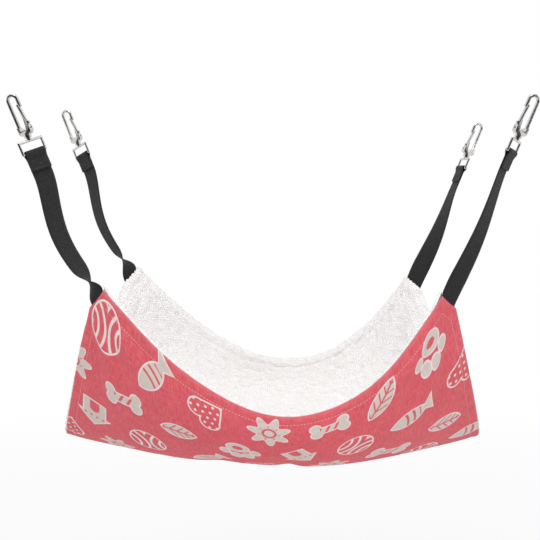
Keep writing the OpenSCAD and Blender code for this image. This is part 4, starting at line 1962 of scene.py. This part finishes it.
@dataclass
class Studio:
    """Camera at the photograph's angle, soft lamps and a pale floor."""

    focal_px: float = 1150.0
    eye: tuple[float, float, float] = (-0.003, -1.325, -0.100)
    pitch_px: float = 70.0
    view_end: float = 50.0
    lamps: tuple[Lamp, ...] = (
        Lamp("key", (-0.9, -1.5, 1.2), 1.3, 15.5),
        Lamp("fill", (1.3, -1.3, 0.5), 1.4, 9.5),
        Lamp("top", (0.0, -0.6, 1.6), 1.4, 13.5),
    )
    lamp_aim: tuple[float, float, float] = (0.0, 0.0, -0.25)
    soft_light: float = 0.55
    card_y: float = -0.9
    card_half: float = 1.6
    card_span: Pair = (-0.8, 1.1)
    floor_z: float = -0.62
    floor_half: float = 8.0
    floor_fade: Pair = (0.3, 1.3)
    floor_white: Pair = (0.22, 0.78)

    def build(self) -> None:
        """Set up the camera, the lamps, the world and the floor."""
        bpy.context.scene.view_settings.view_transform = "Standard"
        self._camera()
        for lamp in self.lamps:
            self._light(lamp)
        self._card()
        self._world()
        self._floor()

    def _camera(self) -> None:
        """Add the camera."""
        data = bpy.data.cameras.new("camera")
        data.sensor_width = SENSOR_MM
        data.sensor_fit = "HORIZONTAL"
        data.lens = SENSOR_MM * self.focal_px / PHOTO_SIDE
        data.clip_end = self.view_end
        camera = bpy.data.objects.new("camera", data)
        camera.location = self.eye
        camera.rotation_euler = (math.pi / 2 - math.atan(self.pitch_px / self.focal_px), 0, 0)
        bpy.context.scene.collection.objects.link(camera)
        bpy.context.scene.camera = camera

    def _light(self, lamp: Lamp) -> None:
        """Add a lamp aimed at the mat.

        Args:
            lamp: The lamp.
        """
        data = bpy.data.lights.new(lamp.name, "AREA")
        data.size = lamp.size
        data.energy = lamp.power
        made = bpy.data.objects.new(lamp.name, data)
        made.location = lamp.place
        aim = Vector(self.lamp_aim) - Vector(lamp.place)
        made.rotation_euler = aim.to_track_quat("-Z", "Y").to_euler()
        bpy.context.scene.collection.objects.link(made)

    def _card(self) -> None:
        """Add a dark card before the mat that only reflections show, so that bright metal has form."""
        made = MaterialNodes("dark_card")
        feed(made.shader, {"Base Color": (0.02, 0.02, 0.02, 1), "Roughness": 0.9})
        half, y, (low, high) = self.card_half, self.card_y, self.card_span
        points = np.array([[-half, y, low], [half, y, low], [half, y, high], [-half, y, high]])
        card = new_object("card", mesh_from(points, [(0, 1, 2, 3)]), made.material)
        card.visible_camera = False
        card.visible_diffuse = False
        card.visible_shadow = False

    @staticmethod
    def _seen(tree: NodeTree) -> Scalar:
        """Share of a ray that looks at a surface directly or in a reflection.

        Args:
            tree: Tree that gets the nodes.

        Returns:
            The share.
        """
        path = tree.nodes.new("ShaderNodeLightPath")
        seen = Scalar(tree, path.outputs["Is Camera Ray"])
        for kind in ("Is Glossy Ray", "Is Transmission Ray"):
            seen = seen.most(Scalar(tree, path.outputs[kind]))
        return seen

    def _world(self) -> None:
        """White backdrop for the eye, plain soft light for the object."""
        world = bpy.data.worlds.new("studio")
        bpy.context.scene.world = world
        world.use_nodes = True
        tree = world.node_tree
        light = tree.nodes["Background"]
        feed(light, {"Color": (1, 1, 1, 1), "Strength": self.soft_light})
        white = add_node(tree, "ShaderNodeBackground", {"Color": (1, 1, 1, 1), "Strength": 1.0})
        feeds = {0: self._seen(tree), 1: light.outputs[0], 2: white.outputs[0]}
        mix = add_node(tree, "ShaderNodeMixShader", feeds)
        feed(tree.nodes["World Output"], {"Surface": mix.outputs[0]})

    def _floor(self) -> None:
        """Pale floor that fades to the white backdrop and keeps a soft shadow."""
        made = MaterialNodes("pale_floor")
        feed(made.shader, {"Base Color": (0.9, 0.9, 0.9, 1), "Roughness": 0.9})
        glow = made.node("ShaderNodeEmission", {"Strength": 1.0})
        x, y = split_xy(made.tree, made.place())
        near, reach = self.floor_fade
        far = ((x * x + y * y).root() - near).share_of(reach)
        share = self._seen(made.tree) * (far * self.floor_white[0] + self.floor_white[1])
        mix = made.node("ShaderNodeMixShader", {0: share, 1: made.shader.outputs[0], 2: glow.outputs[0]})
        feed(made.tree.nodes["Material Output"], {"Surface": mix.outputs[0]})
        half, z = self.floor_half, self.floor_z
        points = np.array([[-half, -half, z], [half, -half, z], [half, half, z], [-half, half, z]])
        new_object("floor", mesh_from(points, [(0, 1, 2, 3)]), made.material)


def main() -> None:
    """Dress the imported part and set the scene."""
    logging.basicConfig(level=logging.INFO, format="%(name)s: %(message)s")
    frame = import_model()
    joints = {joint["name"]: joint for joint in frame["record"]["behaviour"]["joints"]}
    Studio().build()
    effects = SharedEffects()
    growth = Growth()
    black = ThreadFinish("black_thread", light=(0.06, 0.06, 0.062), deep=(0.02, 0.02, 0.02))
    plain = PlateFinish("plain_steel", rough=(0.28, 0.44), clean=(0.46, 0.46, 0.46), dull=(0.30, 0.30, 0.30))
    cloths = Cloths(
        canvas=CanvasFinish().material(effects),
        fleece=FleeceFinish().material(effects),
        pile=FleeceFinish("plush_pile").material(effects),
        webbing=WebbingFinish().material(effects),
        thread=ThreadFinish().material(effects),
        dark_thread=black.material(effects),
    )
    plate = PlateFinish().material(effects)
    steel = plain.material(effects)
    mat = HungMat()
    mat.build(cloths, growth)
    for corner in Corner:
        WebbingStrap(corner, mat, joints).build(cloths, growth)
        SnapHook(corner, frame["nodes"], plate, steel).build(joints)


if __name__ == "__main__":
    main()
